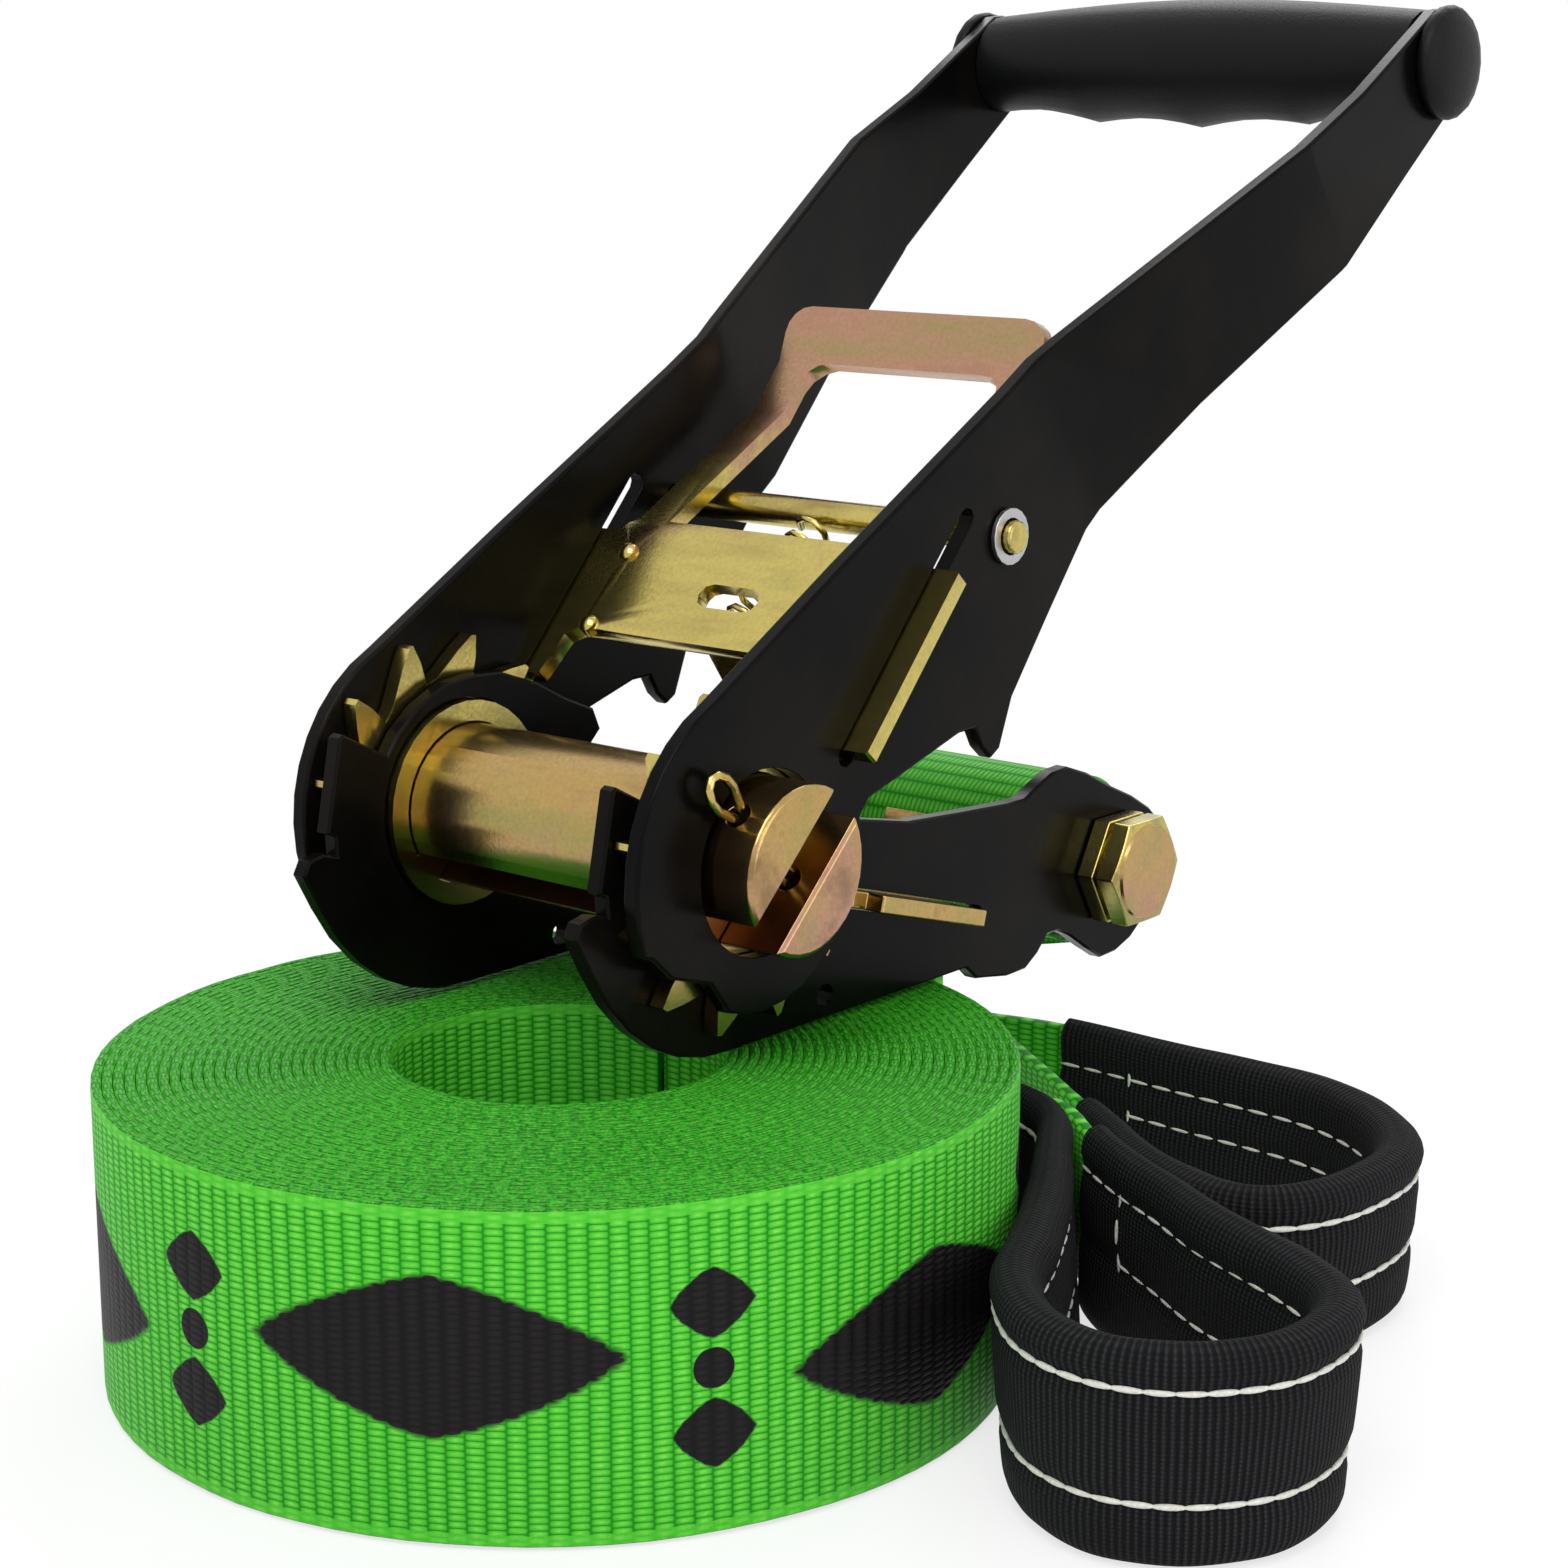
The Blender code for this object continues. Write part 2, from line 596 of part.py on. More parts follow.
def frame_plates(finish, parent):
    width = PAWL_THICKNESS + 2 * SLOT_CLEARANCE
    start = frame_pawl_toe() - SLOT_CLEARANCE
    end = frame_pawl_toe() + FRAME_PAWL_LENGTH + FRAME_PAWL_TRAVEL + SLOT_CLEARANCE
    holes = [
        circle((0.0, 0.0), HUB_RADIUS + RUN_GAP),
        slot_loop(along_frame_pawl(start), along_frame_pawl(end), width),
        circle((TAIL_REACH, -TAIL_DROP), BOLT_RADIUS + TOUCH_GAP, 20),
        circle((LOOK_HOLE_SHARES[0] * TAIL_REACH, -LOOK_HOLE_SHARES[1] * FRAME_DROP), LOOK_HOLE_RADIUS, 10),
    ]
    for name, side in (("near", -1), ("far", 1)):
        low, high = sorted((side * FRAME_IN, side * FRAME_OUT))
        solid("frame_plate_" + name, plate_bmesh(frame_outline(), holes, low, high), finish, parent)


def half_bar_outline(side, gap):
    """A half-round bar's end, with the flat towards the drum's slot; a gap grows it for a cutter."""
    half = DRUM_SLOT / 2 - gap
    radius = DRUM_RADIUS + gap
    reach = atan2(sqrt(radius ** 2 - half ** 2), half)
    middle = DRUM_SLOT_ANGLE + side * pi / 2
    return arc((0.0, 0.0), radius, middle - reach, middle + reach, 15)


def cotter_level():
    return HANDLE_OUT + RUN_GAP + 2 * COTTER_WIRE_RADIUS + COTTER_LEG_GAP + TOUCH_GAP


def drum(finish, parent):
    """Two half-round bars, cross-drilled outside the handle plates for the cotter pins."""
    for name, side in (("upper", 1), ("lower", -1)):
        outline = half_bar_outline(side, 0.0)
        bar = solid("drum_bar_" + name, plate_bmesh(outline, [], -DRUM_END, DRUM_END, DRUM_CHAMFER),
                    finish, parent)
        for end in (-1, 1):
            radius = 2 * COTTER_WIRE_RADIUS + COTTER_LEG_GAP / 2 + TOUCH_GAP
            length = 2 * (DRUM_RADIUS + CUT_OVERRUN)
            drill = turned_bmesh([(0.0, -length / 2), (radius, -length / 2), (radius, length / 2),
                                  (0.0, length / 2)], 12)
            bmesh.ops.rotate(drill, verts=drill.verts, matrix=Matrix.Rotation(-DRUM_SLOT_ANGLE, 3, 'Y'))
            bmesh.ops.rotate(drill, verts=drill.verts, matrix=Matrix.Rotation(pi / 2, 3, 'X'))
            turn_to_pin(drill)
            moved(drill, y=end * cotter_level())
            boolean(bar, helper("drill_%s_%d" % (name, end), drill, parent), 'DIFFERENCE')


def turn_to_pin(bm):
    """Turn a piece that lies along Z to lie across the drum's slot."""
    across = Vector((cos(DRUM_SLOT_ANGLE + pi / 2), 0.0, sin(DRUM_SLOT_ANGLE + pi / 2)))
    turn = Vector((0.0, 0.0, 1.0)).rotation_difference(across).to_matrix()
    bmesh.ops.rotate(bm, verts=bm.verts, matrix=turn)


def wheels(finish, parent):
    """A toothed wheel outside each frame plate; its hub turns in the plate and holds both bars."""
    outline = []
    pitch = 2 * pi / WHEEL_TEETH
    depth = WHEEL_TIP_RADIUS - WHEEL_ROOT_RADIUS
    for k in range(WHEEL_TEETH):
        for along_share, height_share in TOOTH_SHARES:
            angle = WHEEL_PHASE + pitch * (k + along_share)
            radius = WHEEL_ROOT_RADIUS + depth * height_share
            outline.append((radius * cos(angle), radius * sin(angle)))
    for name, side in (("near", -1), ("far", 1)):
        low, high = sorted((side * WHEEL_IN, side * WHEEL_OUT))
        wheel = solid("ratchet_wheel_" + name, plate_bmesh(outline, [], low, high, 0.0), finish, parent)
        low, high = sorted((side * (FRAME_IN - HUB_PROUD), side * (WHEEL_IN + WHEEL_THICKNESS / 2)))
        hub = turned_bmesh([(0.0, low), (HUB_RADIUS, low), (HUB_RADIUS, high), (0.0, high)])
        boolean(wheel, helper("hub_" + name, hub, parent), 'UNION')
        for bar in (1, -1):
            low, high = sorted((side * (FRAME_IN - HUB_PROUD - CUT_OVERRUN), side * (WHEEL_OUT + CUT_OVERRUN)))
            cut = plate_bmesh(half_bar_outline(bar, TOUCH_GAP), [], low, high, 0.0)
            boolean(wheel, helper("bar_cut_%s_%d" % (name, bar), cut, parent), 'DIFFERENCE')


def tube(name, points, radius, resolution, finish, parent):
    """A round wire along the given points, with closed ends."""
    data = bpy.data.curves.new(name, 'CURVE')
    data.dimensions = '3D'
    data.bevel_depth = radius
    data.bevel_resolution = resolution
    data.use_fill_caps = True
    spline = data.splines.new('POLY')
    spline.points.add(len(points) - 1)
    for place, point in zip(spline.points, points):
        place.co = (*point, 1.0)
    data.materials.append(finish)
    made = bpy.data.objects.new(name, data)
    bpy.context.collection.objects.link(made)
    made.parent = parent
    return made


def cotter_pins(finish, parent):
    """A split pin through both bars at each end: an eye at one side, spread feet at the other."""
    across = Vector((cos(DRUM_SLOT_ANGLE + pi / 2), 0.0, sin(DRUM_SLOT_ANGLE + pi / 2)))
    aside = Vector((cos(DRUM_SLOT_ANGLE), 0.0, sin(DRUM_SLOT_ANGLE)))
    leg = COTTER_WIRE_RADIUS + COTTER_LEG_GAP / 2
    reach = DRUM_RADIUS + TOUCH_GAP
    for name, side in (("near", -1), ("far", 1)):
        base = Vector((0.0, side * cotter_level(), 0.0))
        eye = base + across * (reach + COTTER_WIRE_RADIUS + COTTER_EYE_REACH)
        foot = base - across * reach
        points = [foot - across * COTTER_OVERHANG + aside * (leg + COTTER_FOOT),
                  foot - across * COTTER_OVERHANG / 2 + aside * leg * 2,
                  foot + aside * leg,
                  base + across * reach + aside * leg]
        for k in range(9):
            angle = COTTER_EYE_MOUTH + 2 * (pi - COTTER_EYE_MOUTH) * k / 8
            points.append(eye - across * (cos(angle) * COTTER_EYE_REACH)
                          + aside * (sin(angle) * COTTER_EYE_RADIUS))
        points += [base + across * reach - aside * leg,
                   foot - aside * leg,
                   foot - across * COTTER_OVERHANG - aside * leg]
        tube("cotter_pin_" + name, points, COTTER_WIRE_RADIUS, 1, finish, parent)


def hexagon(across_flats):
    radius = across_flats / 2 / cos(pi / 6)
    return circle((0.0, 0.0), radius, 6)


def tail_fasteners(finish, dark, parent):
    """The bolt through the tail with its washers, nut and spacer."""
    head_low = -FRAME_OUT - TOUCH_GAP - HEAD_HEIGHT
    head_high = head_low + HEAD_HEIGHT
    nut_low = FRAME_OUT + WASHER_THICKNESS + 2 * TOUCH_GAP
    nut_high = nut_low + NUT_HEIGHT
    place = {"x": TAIL_REACH, "z": -TAIL_DROP}
    head = plate_bmesh(hexagon(HEX_ACROSS_FLATS), [], head_low, head_high, 0.0)
    bolt = solid("tail_bolt", moved(head, **place), finish, parent)
    flat = HEX_ACROSS_FLATS / 2
    groove = head_high - HEAD_HEIGHT * HEAD_GROOVE_SHARE
    turned = turned_bmesh([(0.0, head_low - CUT_OVERRUN), (flat - EDGE_CHAMFER, head_low - CUT_OVERRUN),
                           (flat - EDGE_CHAMFER, head_low), (2 * flat, head_low + HEAD_BEVEL * 2),
                           (2 * flat, groove - HEAD_GROOVE), (flat - HEAD_GROOVE_DEPTH, groove - HEAD_GROOVE),
                           (flat - HEAD_GROOVE_DEPTH, groove), (2 * flat, groove),
                           (2 * flat, head_high + CUT_OVERRUN), (0.0, head_high + CUT_OVERRUN)], 36)
    boolean(bolt, helper("head_shape", moved(turned, **place), parent), 'INTERSECT')
    shank_low = head_high - HEAD_HEIGHT / 2
    shank_high = nut_high + BOLT_PROUD
    shank = turned_bmesh([(0.0, shank_low), (BOLT_RADIUS, shank_low), (BOLT_RADIUS, shank_high - EDGE_CHAMFER),
                          (BOLT_RADIUS - EDGE_CHAMFER, shank_high), (0.0, shank_high)], 20)
    boolean(bolt, helper("shank", moved(shank, **place), parent), 'UNION')
    bore = circle((0.0, 0.0), BOLT_RADIUS + TOUCH_GAP, 20)
    nut = plate_bmesh(hexagon(HEX_ACROSS_FLATS), [bore], nut_low, nut_high, 2 * EDGE_CHAMFER)
    solid("tail_nut", moved(nut, **place), finish, parent)
    low = FRAME_OUT + TOUCH_GAP
    ring = turned_bmesh([(BOLT_RADIUS + TOUCH_GAP, low), (WASHER_RADIUS, low),
                         (WASHER_RADIUS, low + WASHER_THICKNESS),
                         (BOLT_RADIUS + TOUCH_GAP, low + WASHER_THICKNESS)], 20)
    solid("tail_washer", moved(ring, **place), dark, parent)
    length = FRAME_IN - TOUCH_GAP
    spacer = turned_bmesh([(BOLT_RADIUS + TOUCH_GAP, -length), (SPACER_RADIUS, -length),
                           (SPACER_RADIUS, length), (BOLT_RADIUS + TOUCH_GAP, length)], 28)
    solid("tail_spacer", moved(spacer, **place), finish, parent)


def strap_wrap_radius():
    return SPACER_RADIUS + TOUCH_GAP + STRAP_WRAP


def neck_end_across():
    """How far to the far side of the middle plane the folded neck hands over to the rear eye."""
    return WEB_WIDTH / 2 - FOLD_WIDTH * NECK_SHARE


def ratchet_strap(finish, parent):
    """The short strap: wrapped round the spacer, then down and folded in half towards its eye."""
    half = WEB_WIDTH / 2
    inner = SPACER_RADIUS + TOUCH_GAP
    outer = strap_wrap_radius()
    wrap = turned_bmesh([(inner, -half), (outer, -half), (outer, half), (inner, half)], 28)
    strap = solid("ratchet_strap", moved(wrap, x=TAIL_REACH, z=-TAIL_DROP), finish, parent)
    top = -TAIL_DROP - inner - STRAP_WRAP / 2
    fold_low = REAR_FOLD_LIFT - DRUM_HEIGHT
    end = neck_end_across()
    corner = FOLD_WIDTH / 4
    outline = [(-half, top), (-half, top - EDGE_CHAMFER), (end, top - NECK_GATHER),
               (end, fold_low), (half - corner, fold_low), (half, fold_low + corner), (half, top)]
    neck = plate_bmesh(outline, [], -STRAP_NECK / 2, STRAP_NECK / 2, 0.0)
    bmesh.ops.rotate(neck, verts=neck.verts, matrix=Matrix.Rotation(pi / 2, 3, 'Z'))
    boolean(strap, helper("neck", moved(neck, x=TAIL_REACH), parent), 'UNION')


def to_handle(share):
    return (share[0] * HANDLE_REACH, share[1] * HANDLE_END_RADIUS)


def handle_outline():
    """The handle plate before bending: drum axis at zero, grip at +X."""
    grip = (HANDLE_REACH, -GRIP_DROP)
    tip = arc(grip, GRIP_END_RADIUS, radians(-80.0), radians(70.0), 9)
    top = [to_handle(share) for share in HANDLE_TOP_SHARES]
    nose = arc((0.0, 0.0), HANDLE_END_RADIUS, radians(78.0), radians(164.0), END_ARC_POINTS)
    notch = [to_handle(share) for share in HANDLE_NOTCH_SHARES]
    lobe = arc((0.0, 0.0), HANDLE_LOBE_RADIUS, radians(214.0), radians(332.0), LOBE_ARC_POINTS)
    foot = [to_handle(share) for share in HANDLE_FOOT_SHARES]
    return tip + top + nose + notch + lobe + foot


def along_pawl(distance):
    """A point on the handle pawl's middle line, at a distance from the drum axis along it."""
    return (distance * cos(PAWL_SLOPE) + PAWL_DROP * sin(PAWL_SLOPE),
            distance * sin(PAWL_SLOPE) - PAWL_DROP * cos(PAWL_SLOPE))


def handle_plates(finish, parent):
    """Two mirrored plates that run parallel, splay out and run parallel again to the grip."""
    first = FIRST_BEND_SHARE * HANDLE_REACH
    second = SECOND_BEND_SHARE * HANDLE_REACH
    width = PAWL_THICKNESS + 2 * SLOT_CLEARANCE
    start = pawl_toe() - PAWL_EAR_HEEL - SLOT_CLEARANCE
    end = pawl_toe() + PAWL_EAR_LENGTH + PAWL_TRAVEL + SLOT_CLEARANCE
    holes = [
        circle((0.0, 0.0), HANDLE_BORE),
        slot_loop(along_pawl(start), along_pawl(end), width),
        circle((HANDLE_PIN_ALONG, -HANDLE_PIN_DROP), HANDLE_PIN_RADIUS + TOUCH_GAP, 14),
        circle((HANDLE_REACH, -GRIP_DROP), GRIP_BAR_RADIUS + TOUCH_GAP, 14),
    ]
    for name, side in (("near", -1), ("far", 1)):
        low, high = sorted((side * HANDLE_IN, side * HANDLE_OUT))
        bm = plate_bmesh(handle_outline(), holes, low, high)
        for place in (first, second):
            geometry = list(bm.verts) + list(bm.edges) + list(bm.faces)
            bmesh.ops.bisect_plane(bm, geom=geometry, dist=EDGE_CHAMFER / 100,
                                   plane_co=(place, 0.0, 0.0), plane_no=(1.0, 0.0, 0.0))
        for vert in bm.verts:
            share = min(max((vert.co.x - first) / (second - first), 0.0), 1.0)
            vert.co.y += side * HANDLE_SPLAY * share
        solid("handle_plate_" + name, bm, finish, parent)


def handle_pin(finish, washer_finish, parent):
    end = HANDLE_OUT + 2 * TOUCH_GAP + PIN_WASHER_THICKNESS + PIN_PROUD
    profile = [(0.0, -end), (HANDLE_PIN_RADIUS - EDGE_CHAMFER, -end),
               (HANDLE_PIN_RADIUS, -end + EDGE_CHAMFER), (HANDLE_PIN_RADIUS, end - EDGE_CHAMFER),
               (HANDLE_PIN_RADIUS - EDGE_CHAMFER, end), (0.0, end)]
    place = {"x": HANDLE_PIN_ALONG, "z": -HANDLE_PIN_DROP}
    solid("handle_pin", moved(turned_bmesh(profile, 14), **place), finish, parent)
    for name, side in (("near", -1), ("far", 1)):
        low, high = sorted((side * (HANDLE_OUT + TOUCH_GAP),
                            side * (HANDLE_OUT + TOUCH_GAP + PIN_WASHER_THICKNESS)))
        ring = turned_bmesh([(HANDLE_PIN_RADIUS + TOUCH_GAP, low), (PIN_WASHER_RADIUS, low),
                             (PIN_WASHER_RADIUS, high), (HANDLE_PIN_RADIUS + TOUCH_GAP, high)], 18)
        solid("pin_washer_" + name, moved(ring, **place), washer_finish, parent)


def grip(finish, bar_finish, parent):
    """The moulded grip on its bar, and a domed cap outside each plate."""
    place = {"x": HANDLE_REACH, "z": -GRIP_DROP}
    bar_end = GRIP_OUT + CAP_SOCKET
    bar = turned_bmesh([(0.0, -bar_end), (GRIP_BAR_RADIUS, -bar_end), (GRIP_BAR_RADIUS, bar_end),
                        (0.0, bar_end)], 14)
    solid("grip_bar", moved(bar, **place), bar_finish, parent)
    half = GRIP_IN - TOUCH_GAP
    bm = bmesh.new()
    rings = []
    for k in range(GRIP_ALONG + 1):
        share = k / GRIP_ALONG
        y = -half + 2 * half * share
        bulge = GRIP_BULGE * sin(pi * share)
        finger = FINGER_DEPTH * abs(sin(pi * FINGER_COUNT * share))
        ring = []
        for j in range(GRIP_AROUND):
            angle = 2 * pi * j / GRIP_AROUND
            facing = max(cos(angle - FINGER_ANGLE), 0.0) ** 2
            radius = GRIP_RADIUS + bulge - finger * facing
            ring.append(bm.verts.new((radius * cos(angle), y, radius * sin(angle))))
        rings.append(ring)
    bore = GRIP_BAR_RADIUS + TOUCH_GAP
    for y in (half, -half):
        rings.append([bm.verts.new((x, y, z)) for x, z in circle((0.0, 0.0), bore, GRIP_AROUND)])
    for one, two in zip(rings, rings[1:] + rings[:1]):
        for j in range(GRIP_AROUND):
            after = (j + 1) % GRIP_AROUND
            bm.faces.new((one[j], one[after], two[after], two[j]))
    solid("grip_sleeve", moved(bm, **place), finish, parent)
    face = GRIP_OUT + TOUCH_GAP
    socket = bar_end + TOUCH_GAP
    steps = 4
    for name, side in (("near", -1), ("far", 1)):
        profile = [(0.0, side * socket), (bore, side * socket), (bore, side * face),
                   (CAP_RADIUS - EDGE_CHAMFER, side * face), (CAP_RADIUS, side * (face + EDGE_CHAMFER))]
        rim = face + CAP_LENGTH * 0.4
        for k in range(steps):
            angle = pi / 2 * k / steps
            profile.append((CAP_RADIUS * cos(angle), side * (rim + CAP_LENGTH * 0.6 * sin(angle))))
        profile.append((0.0, side * (face + CAP_LENGTH)))
        solid("grip_cap_" + name, moved(turned_bmesh(profile, 20), **place), finish, parent)


def pawl_bends():
    """The distances along the handle pawl where its sheet is bent, and the direction after each."""
    first = pawl_toe() + PAWL_EAR_LENGTH + PAWL_THICKNESS / 2
    second = first + PULL_ARM_LENGTH
    third = second + PULL_RAMP_LENGTH
    return (first, second, third), (PAWL_SLOPE,) + PULL_ANGLES


def bend_sheet(bm, bends, angles, start):
    """Bend a flat sheet in X and Y along lines of constant X, from a point and a first direction."""
    for place in bends:
        geometry = list(bm.verts) + list(bm.edges) + list(bm.faces)
        bmesh.ops.bisect_plane(bm, geom=geometry, dist=EDGE_CHAMFER / 100,
                               plane_co=(place, 0.0, 0.0), plane_no=(1.0, 0.0, 0.0))
    places = (0.0,) + tuple(bends)
    corners = [Vector((start[0], start[1]))]
    for one, two, angle in zip(places, places[1:], angles):
        corners.append(corners[-1] + Vector((cos(angle), sin(angle))) * (two - one))
    for vert in bm.verts:
        x, y, z = vert.co
        leg = sum(1 for place in bends if x > place + EDGE_CHAMFER / 10)
        at_bend = [k for k, place in enumerate(bends) if abs(x - place) <= EDGE_CHAMFER / 10]
        angle = angles[leg]
        stretch = 1.0
        if at_bend:
            after = angles[at_bend[0] + 1]
            stretch = 1.0 / cos((after - angle) / 2)
            middle = (after + angle) / 2
        else:
            middle = angle
        along = Vector((cos(angle), sin(angle))) * (x - places[leg])
        normal = Vector((-sin(middle), cos(middle))) * z * stretch
        spot = corners[leg] + along + normal
        vert.co = (spot.x, y, spot.y)


def sheet_bmesh(outline, holes, thickness):
    """A flat sheet with its outline in X and Y and its middle plane at Z = 0."""
    bm = plate_bmesh(outline, holes, -thickness / 2, thickness / 2, 0.0)
    for vert in bm.verts:
        x, y, z = vert.co
        vert.co = (x, z, y)
    return bm


def mirrored(half):
    """A closed outline from one half with positive Y, listed with growing X."""
    return [(x, -y) for x, y in half] + [(x, y) for x, y in reversed(half)]


def handle_pawl(finish, parent, fixed_parent):
    toe = pawl_toe()
    heel = toe - PAWL_EAR_HEEL
    ear_end = toe + PAWL_EAR_LENGTH
    bends, angles = pawl_bends()
    ear_out = HANDLE_OUT + PAWL_EAR_PROUD
    toe_in = WHEEL_IN
    waist = toe + PAWL_WAIST
    end = bends[-1] + PULL_BAR_WIDTH
    half = [
        (waist, 0.0), (waist, toe_in - PAWL_TOE_WIDTH), (waist - PAWL_TOE_WIDTH * 0.5, toe_in - PAWL_TOE_WIDTH * 0.3),
        (toe + EDGE_CHAMFER, toe_in), (toe, toe_in + EDGE_CHAMFER), (toe, HANDLE_IN),
        (heel, HANDLE_IN), (heel, ear_out - EDGE_CHAMFER),
        (heel + EDGE_CHAMFER, ear_out), (ear_end - EDGE_CHAMFER, ear_out), (ear_end, ear_out - EDGE_CHAMFER),
        (ear_end, PULL_LOOP_HALF_WIDTH + PAWL_THICKNESS), (ear_end + PAWL_THICKNESS, PULL_LOOP_HALF_WIDTH),
    ]
    half += arc((end - PULL_CORNER, PULL_LOOP_HALF_WIDTH - PULL_CORNER), PULL_CORNER, pi / 2, 0.0, 5)
    half = half[1:]
    inner = PULL_LOOP_HALF_WIDTH - PAWL_ARM
    hole_low = ear_end + PAWL_THICKNESS
    hole_high = end - PULL_BAR_WIDTH
    hole_half = [(hole_low, inner)] + arc((hole_high - PULL_CORNER, inner - PULL_CORNER), PULL_CORNER,
                                          pi / 2, 0.0, 4)
    middle = toe + PAWL_EAR_LENGTH * PAWL_WINDOW_SHARE
    window = slot_loop((middle, -PAWL_WINDOW / 2 + PAWL_WINDOW_WIDTH / 2),
                       (middle, PAWL_WINDOW / 2 - PAWL_WINDOW_WIDTH / 2), PAWL_WINDOW_WIDTH)
    bm = sheet_bmesh(mirrored(half), [mirrored(hole_half), window], PAWL_THICKNESS)
    bend_sheet(bm, bends, angles, along_pawl(0.0))
    pawl = solid("handle_pawl", bm, finish, parent)
    tongue_place = middle - PAWL_WINDOW_WIDTH
    x, z = along_pawl(tongue_place)
    tongue = plate_bmesh([(-PAWL_THICKNESS / 2, -PAWL_TONGUE), (PAWL_THICKNESS / 2, -PAWL_TONGUE),
                          (PAWL_THICKNESS / 2, 0.0), (-PAWL_THICKNESS / 2, 0.0)], [],
                         -PAWL_TONGUE_WIDTH / 2, PAWL_TONGUE_WIDTH / 2, 0.0)
    boolean(pawl, helper("tongue", moved(tongue, x=x, z=z), parent), 'UNION')
    for side in (-1, 1):
        for rank, share in enumerate(STUD_SHARES):
            place = along_pawl(toe + PAWL_EAR_LENGTH * share)
            top = PAWL_THICKNESS / 2 + STUD_HEIGHT
            stud = turned_bmesh([(0.0, 0.0), (STUD_RADIUS, 0.0), (STUD_RADIUS, top - STUD_HEIGHT / 2),
                                 (STUD_RADIUS / 2, top), (0.0, top)], 10)
            bmesh.ops.rotate(stud, verts=stud.verts, matrix=Matrix.Rotation(pi / 2, 3, 'X'))
            bmesh.ops.rotate(stud, verts=stud.verts, matrix=Matrix.Rotation(-PAWL_SLOPE, 3, 'Y'))
            moved(stud, x=place[0], y=side * (FRAME_IN - STUD_RADIUS), z=place[1])
            boolean(pawl, helper("stud_%d_%d" % (side, rank), stud, parent), 'UNION')
    low = Vector((x + PAWL_THICKNESS / 2 + SPRING_WIRE_RADIUS + TOUCH_GAP, 0.0, -HANDLE_PIN_DROP))
    high = Vector((HANDLE_PIN_ALONG - HANDLE_PIN_RADIUS - SPRING_WIRE_RADIUS - TOUCH_GAP, 0.0, -HANDLE_PIN_DROP))
    spring("handle_pawl_spring", low, high, HANDLE_SPRING_RADIUS, HANDLE_SPRING_TURNS, finish, fixed_parent)


def spring(name, low, high, radius, turns, finish, parent):
    """A compression spring between two points on a line across Y, as one open helix."""
    along = (high - low)
    side = Vector((0.0, 1.0, 0.0))
    up = side.cross(along).normalized()
    count = turns * POINTS_PER_CURL
    points = []
    for k in range(count + 1):
        angle = 2 * pi * k / POINTS_PER_CURL
        points.append(low + along * (k / count) + side * radius * cos(angle) + up * radius * sin(angle))
    gap = along.length / turns - 2 * SPRING_WIRE_RADIUS
    print("%s: least gap between curls %.2f mm" % (name, gap / MM))
    tube(name, points, SPRING_WIRE_RADIUS, 1, finish, parent)


def frame_pawl(finish, parent, fixed_parent):
    toe = frame_pawl_toe()
    end = toe + FRAME_PAWL_LENGTH
    ear_start = end - FRAME_EAR_LENGTH
    ear_out = FRAME_OUT + FRAME_EAR_PROUD
    body_out = WHEEL_OUT
    half = [
        (toe + FRAME_PAWL_WAIST, WHEEL_IN - PAWL_TOE_WIDTH), (toe + EDGE_CHAMFER, WHEEL_IN),
        (toe, WHEEL_IN + EDGE_CHAMFER), (toe, body_out), (ear_start, body_out),
        (ear_start, ear_out - EDGE_CHAMFER), (ear_start + EDGE_CHAMFER, ear_out),
        (end - EDGE_CHAMFER, ear_out), (end, ear_out - EDGE_CHAMFER), (end, PAWL_TONGUE_WIDTH),
        (end + EDGE_CHAMFER, PAWL_TONGUE_WIDTH - EDGE_CHAMFER),
    ]
    bm = sheet_bmesh(mirrored(half), [], PAWL_THICKNESS)
    bend_sheet(bm, (), (FRAME_PAWL_SLOPE,), along_frame_pawl(0.0))
    solid("frame_pawl", bm, finish, parent)
    seat = strap_wrap_radius() + TOUCH_GAP
    centre = (TAIL_REACH, -TAIL_DROP)
    edge = along_frame_pawl(end + EDGE_CHAMFER)
    towards = atan2(edge[1] - centre[1], edge[0] - centre[0])
    outline = (arc(centre, seat, towards - SADDLE_HALF_ANGLE, towards + SADDLE_HALF_ANGLE, 7)
               + arc(centre, seat + SADDLE_THICKNESS, towards + SADDLE_HALF_ANGLE,
                     towards - SADDLE_HALF_ANGLE, 7))
    saddle = plate_bmesh(outline, [], -SADDLE_WIDTH / 2, SADDLE_WIDTH / 2, 0.0)
    solid("frame_spring_saddle", saddle, finish, fixed_parent)
    inner = seat + SADDLE_THICKNESS + SPRING_WIRE_RADIUS + TOUCH_GAP
    high = Vector((centre[0] + inner * cos(towards), 0.0, centre[1] + inner * sin(towards)))
    start = Vector((edge[0], 0.0, edge[1]))
    low = start + (high - start).normalized() * (SPRING_WIRE_RADIUS + TOUCH_GAP)
    spring("frame_pawl_spring", low, high, FRAME_SPRING_RADIUS, FRAME_SPRING_TURNS, finish, fixed_parent)


